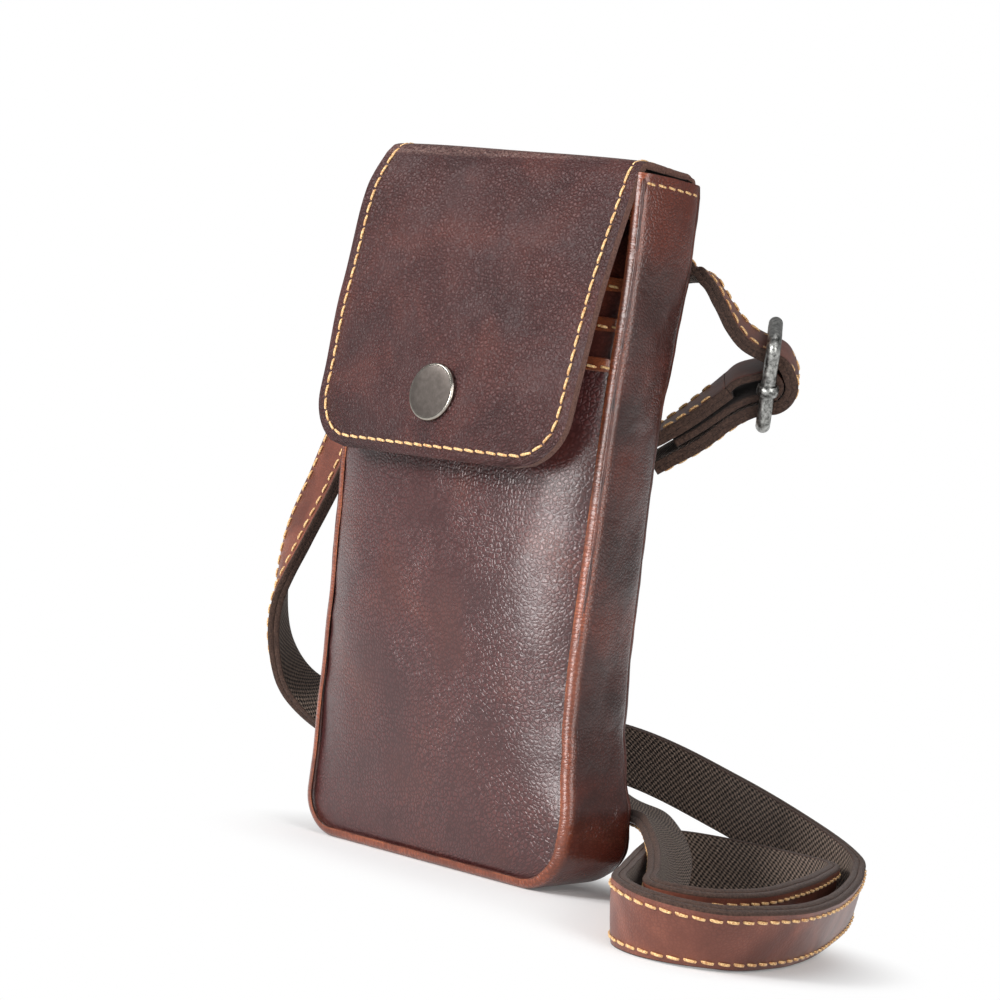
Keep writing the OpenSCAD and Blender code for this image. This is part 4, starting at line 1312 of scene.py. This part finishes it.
def build_anchor():
    cols = 33
    rows = 21

    def place(i, j, inside):
        x = patch_half_x * (2 * j / (cols - 1) - 1)
        z = patch_z + patch_half_z * (2 * i / (rows - 1) - 1)
        y = back_out_y + (patch_clear if inside else patch_t)
        return (x, y + wobble((x, 0, z), 6, 0.05, 4.0), z)

    def uv(i, j):
        return (j * 1.1 + 1200, i * 1.1)

    patch = shell("anchor_patch_leather", rows, cols, place, uv, ["slot", "edge", "flesh"])
    dress(patch, "pouch", "strap_anchor_patch", "strap_anchor_patch")
    x = patch_half_x - patch_stitch_inset
    z = patch_half_z - patch_stitch_inset
    corners = [(-x, -z), (x, -z), (x, z), (-x, z), (-x, -z)]
    sewn = []
    for (x0, z0), (x1, z1) in zip(corners, corners[1:]):
        steps = [k / 12 for k in range(13)]
        y = back_out_y + patch_t + patch_clear
        pts = [(x0 + (x1 - x0) * s, y, patch_z + z0 + (z1 - z0) * s) for s in steps]
        sewn.append((pts, [(0, 1, 0)] * len(pts), patch_stitch))
    dress(stitches("anchor_patch_stitches", sewn), "pouch", "strap_anchor_patch")
    places = [side * share * half_w for side in (-1, 1) for share in rivet_shares]
    for k, x in enumerate(places):
        centre = (x, strap_seat_y + strap_t / 2 + 0.05, patch_z)
        head = lathe("anchor_rivet_%d" % k, rivet_profile, centre, (0, 1, 0), ["steel"], 36)
        dress(head, "pouch", "anchor_rivets", *(("anchor_rivets",) if k == 0 else ()))


# Slider: bent wire frame with a round bar whose ends curl round the side wires
wire_bend = 2.6
wire_step = 1.5
collar_profile = (
    (0.1, -1.25, 0), (0.45, -1.5, 0), (0.85, -1.2, -1), (1.05, 0.0, 0), (0.85, 1.2, 1), (0.45, 1.5, 0),
    (0.1, 1.25, 0))


def slider_point(across, up, along=0.0):
    side, rise = slider_axes()
    return slider_pos + across * side + along * slider_u + up * rise


def tube(name, path, radii, closed=False):
    """Round wire along a path of points; radii is one number for each point."""
    pts = [Vector(q) for q in path]
    count = len(pts)
    rings = []
    ref = None
    for k in range(count):
        a = pts[k - 1] if (k > 0 or closed) else pts[k]
        b = pts[(k + 1) % count] if (k < count - 1 or closed) else pts[k]
        t = (b - a).normalized()
        if ref is None:
            ref = t.orthogonal().normalized()
        ref = (ref - t * ref.dot(t)).normalized()
        other = t.cross(ref)
        rings.append([pts[k] + radii[k] * (c * ref + s * other) for c, s in circle(24)])
    return ring_piece(name, rings, ["nickel"], closed=closed)


def build_wire():
    low_v = -(fold_r + strap_t / 2 + 2 * wire_gap + wire_r)
    high_v = -low_v + 2.4
    path = []
    for cx, cv, start in ((1, low_v, -90), (1, high_v, 0), (-1, high_v, 90), (-1, low_v, 180)):
        mv = cv - math.copysign(wire_bend, cv)
        path += arc(cx * (slider_side - wire_bend), mv, wire_bend, start, 8)
    dense = []
    for a, b in zip(path, path[1:] + path[:1]):
        count = max(1, int(math.dist(a, b) / wire_step))
        dense += [(a[0] + (b[0] - a[0]) * m / count, a[1] + (b[1] - a[1]) * m / count) for m in range(count)]
    radii = [wire_r * (1 + 0.035 * noise.noise(Vector((k * 0.37, 0, 0)))) for k in range(len(dense))]
    wire = tube("slider_wire", [slider_point(x, v) for x, v in dense], radii, True)
    dress(wire, "slider", "slider_frame", "slider_frame")


def build_collar(name, sign):
    rings = []
    for c, s in circle(48):
        flare = 0.25 * c ** 2
        ring = []
        for r, h, share in collar_profile:
            reach = wire_r + r
            ring.append(slider_point(sign * slider_side + reach * c, h + share * flare, reach * s))
        rings.append(ring)
    dress(ring_piece(name, rings, ["nickel"], closed=True), "slider", "slider_bar")


def build_slider():
    build_wire()
    reach = slider_side - wire_r - wire_gap / 2
    path = [slider_point(-reach + 2 * reach * k / 16, 0) for k in range(17)]
    bar = tube("slider_crossbar", path, [wire_r * 0.98] * len(path))
    dress(bar, "slider", "slider_bar", "slider_bar")
    build_collar("slider_collar_far", -1)
    build_collar("slider_collar_near", 1)


# Stage, light and camera
floor_size = 6.0
shade_from = (-0.030, 0.0, 0.0)
shade_span = (0.140, -0.02, 0.0)
shade_near = 0.020
shade_far = 0.050
lights = (
    ("key_left", (-0.75, -0.95, 0.85), 0.1, (0.45, 0.45), 7.5, ""),
    ("front_window", (0.11, -1.24, 0.27), 0.1, (0.50, 0.56), 13.5, "visible_diffuse"),
    ("front_fill", (-0.45, -1.15, 0.55), 0.1, (0.3, 0.3), 14.5, "visible_glossy"),
    ("right_strip", (0.95, -0.30, 0.40), 0.1, (0.45, 0.9), 5.8, ""),
    ("top_soft_box", (0.0, 0.2, 1.3), 0.05, (0.8, 0.8), 2.0, ""))
photo_azimuth = math.radians(42.4244)
photo_elevation = math.radians(0.5527)
photo_roll = math.radians(7.5446)
photo_distance = 0.720
photo_target = Vector((0.002072, 0, 0.098198))
photo_focal_px = 2675.0
photo_px = 1000
sensor_mm = 36.0


def floor_material():
    """Pale floor that takes soft shade near the pouch and glows white further out."""
    mat, tree, shader = new_material("pale_floor")
    feed(tree, shader, {"Base Color": grey(0.93), "Roughness": 0.9, "Specular IOR Level": 0.0})
    place = add(tree, "ShaderNodeTexCoord", {}).outputs["Object"]

    def vector_calc(operation, sockets, output="Vector"):
        return add(tree, "ShaderNodeVectorMath", sockets, operation=operation).outputs[output]

    from_end = vector_calc("SUBTRACT", {0: place, 1: shade_from})
    dot = vector_calc("DOT_PRODUCT", {0: from_end, 1: shade_span}, "Value")
    share = calc(tree, "DIVIDE", dot, shade_span[0] ** 2 + shade_span[1] ** 2, True)
    nearest = vector_calc("SCALE", {0: shade_span, "Scale": share})
    gap = vector_calc("DISTANCE", {0: from_end, 1: nearest}, "Value")
    fade = map_range(tree, gap, shade_near, shade_far, 0.1)
    path = add(tree, "ShaderNodeLightPath", {})
    seen = calc(tree, "MAXIMUM", path.outputs["Is Camera Ray"], path.outputs["Is Glossy Ray"])
    glow = add(tree, "ShaderNodeEmission", {"Strength": 1.0}).outputs["Emission"]
    sockets = {"Fac": times(tree, fade, seen), 1: shader.outputs["BSDF"], 2: glow}
    blend = add(tree, "ShaderNodeMixShader", sockets)
    feed(tree, tree.nodes["Material Output"], {"Surface": blend.outputs["Shader"]})
    return mat


def build_stage():
    s = floor_size
    mesh = bpy.data.meshes.new("floor")
    mesh.from_pydata([(-s, -s, 0), (s, -s, 0), (s, s, 0), (-s, s, 0)], [], [(0, 1, 2, 3)])
    floor = bpy.data.objects.new("floor", mesh)
    bpy.context.scene.collection.objects.link(floor)
    floor.data.materials.append(floor_material())
    world = bpy.data.worlds.new("studio")
    bpy.context.scene.world = world
    world.use_nodes = True
    tree = world.node_tree
    sky = feed(tree, tree.nodes["Background"], {"Color": grey(1), "Strength": 0.28})
    white = add(tree, "ShaderNodeBackground", {"Color": grey(1), "Strength": 1.0})
    camera_ray = add(tree, "ShaderNodeLightPath", {}).outputs["Is Camera Ray"]
    sockets = {"Fac": camera_ray, 1: sky.outputs["Background"], 2: white.outputs["Background"]}
    choose = add(tree, "ShaderNodeMixShader", sockets)
    feed(tree, tree.nodes["World Output"], {"Surface": choose.outputs["Shader"]})


def build_lights():
    for name, place, target_z, size, energy, unseen_by in lights:
        data = bpy.data.lights.new(name, "AREA")
        data.shape = "RECTANGLE"
        data.size, data.size_y = size
        data.energy = energy
        obj = bpy.data.objects.new(name, data)
        bpy.context.scene.collection.objects.link(obj)
        obj.location = place
        obj.rotation_euler = (Vector((0, 0, target_z)) - Vector(place)).to_track_quat("-Z", "Y").to_euler()
        if unseen_by:
            setattr(obj, unseen_by, False)


def build_camera():
    level = Vector((math.cos(photo_azimuth), math.sin(photo_azimuth), 0))
    ahead = Vector((math.sin(photo_azimuth), -math.cos(photo_azimuth), 0))
    toward = ahead * math.cos(photo_elevation) + Vector((0, 0, math.sin(photo_elevation)))
    upright = toward.cross(level)
    right = math.cos(photo_roll) * level + math.sin(photo_roll) * upright
    up = -math.sin(photo_roll) * level + math.cos(photo_roll) * upright
    data = bpy.data.cameras.new("photo_camera")
    data.sensor_width = sensor_mm
    data.lens = photo_focal_px * sensor_mm / photo_px
    data.clip_start = 0.01
    cam = bpy.data.objects.new("photo_camera", data)
    bpy.context.scene.collection.objects.link(cam)
    place = photo_target + toward * photo_distance
    rows = [(right[k], up[k], toward[k], place[k]) for k in range(3)]
    cam.matrix_world = Matrix((*rows, (0, 0, 0, 1)))
    bpy.context.scene.camera = cam


bpy.context.scene.view_settings.view_transform = "Standard"
build_camera()
build_front()
build_band()
build_band_lining()
build_seam_roll("front_seam_roll", "front_seam_bead", -seam_y - 0.3, 1.0, 0.7)
build_seam_roll("back_seam_roll", "back_seam_bead", seam_y, 1.2, 0.2)
build_flap()
build_flap_sewing()
build_back_lining()
build_snap()
build_strap()
build_anchor()
build_slider()
build_stage()
build_lights()
bpy.context.view_layer.update()
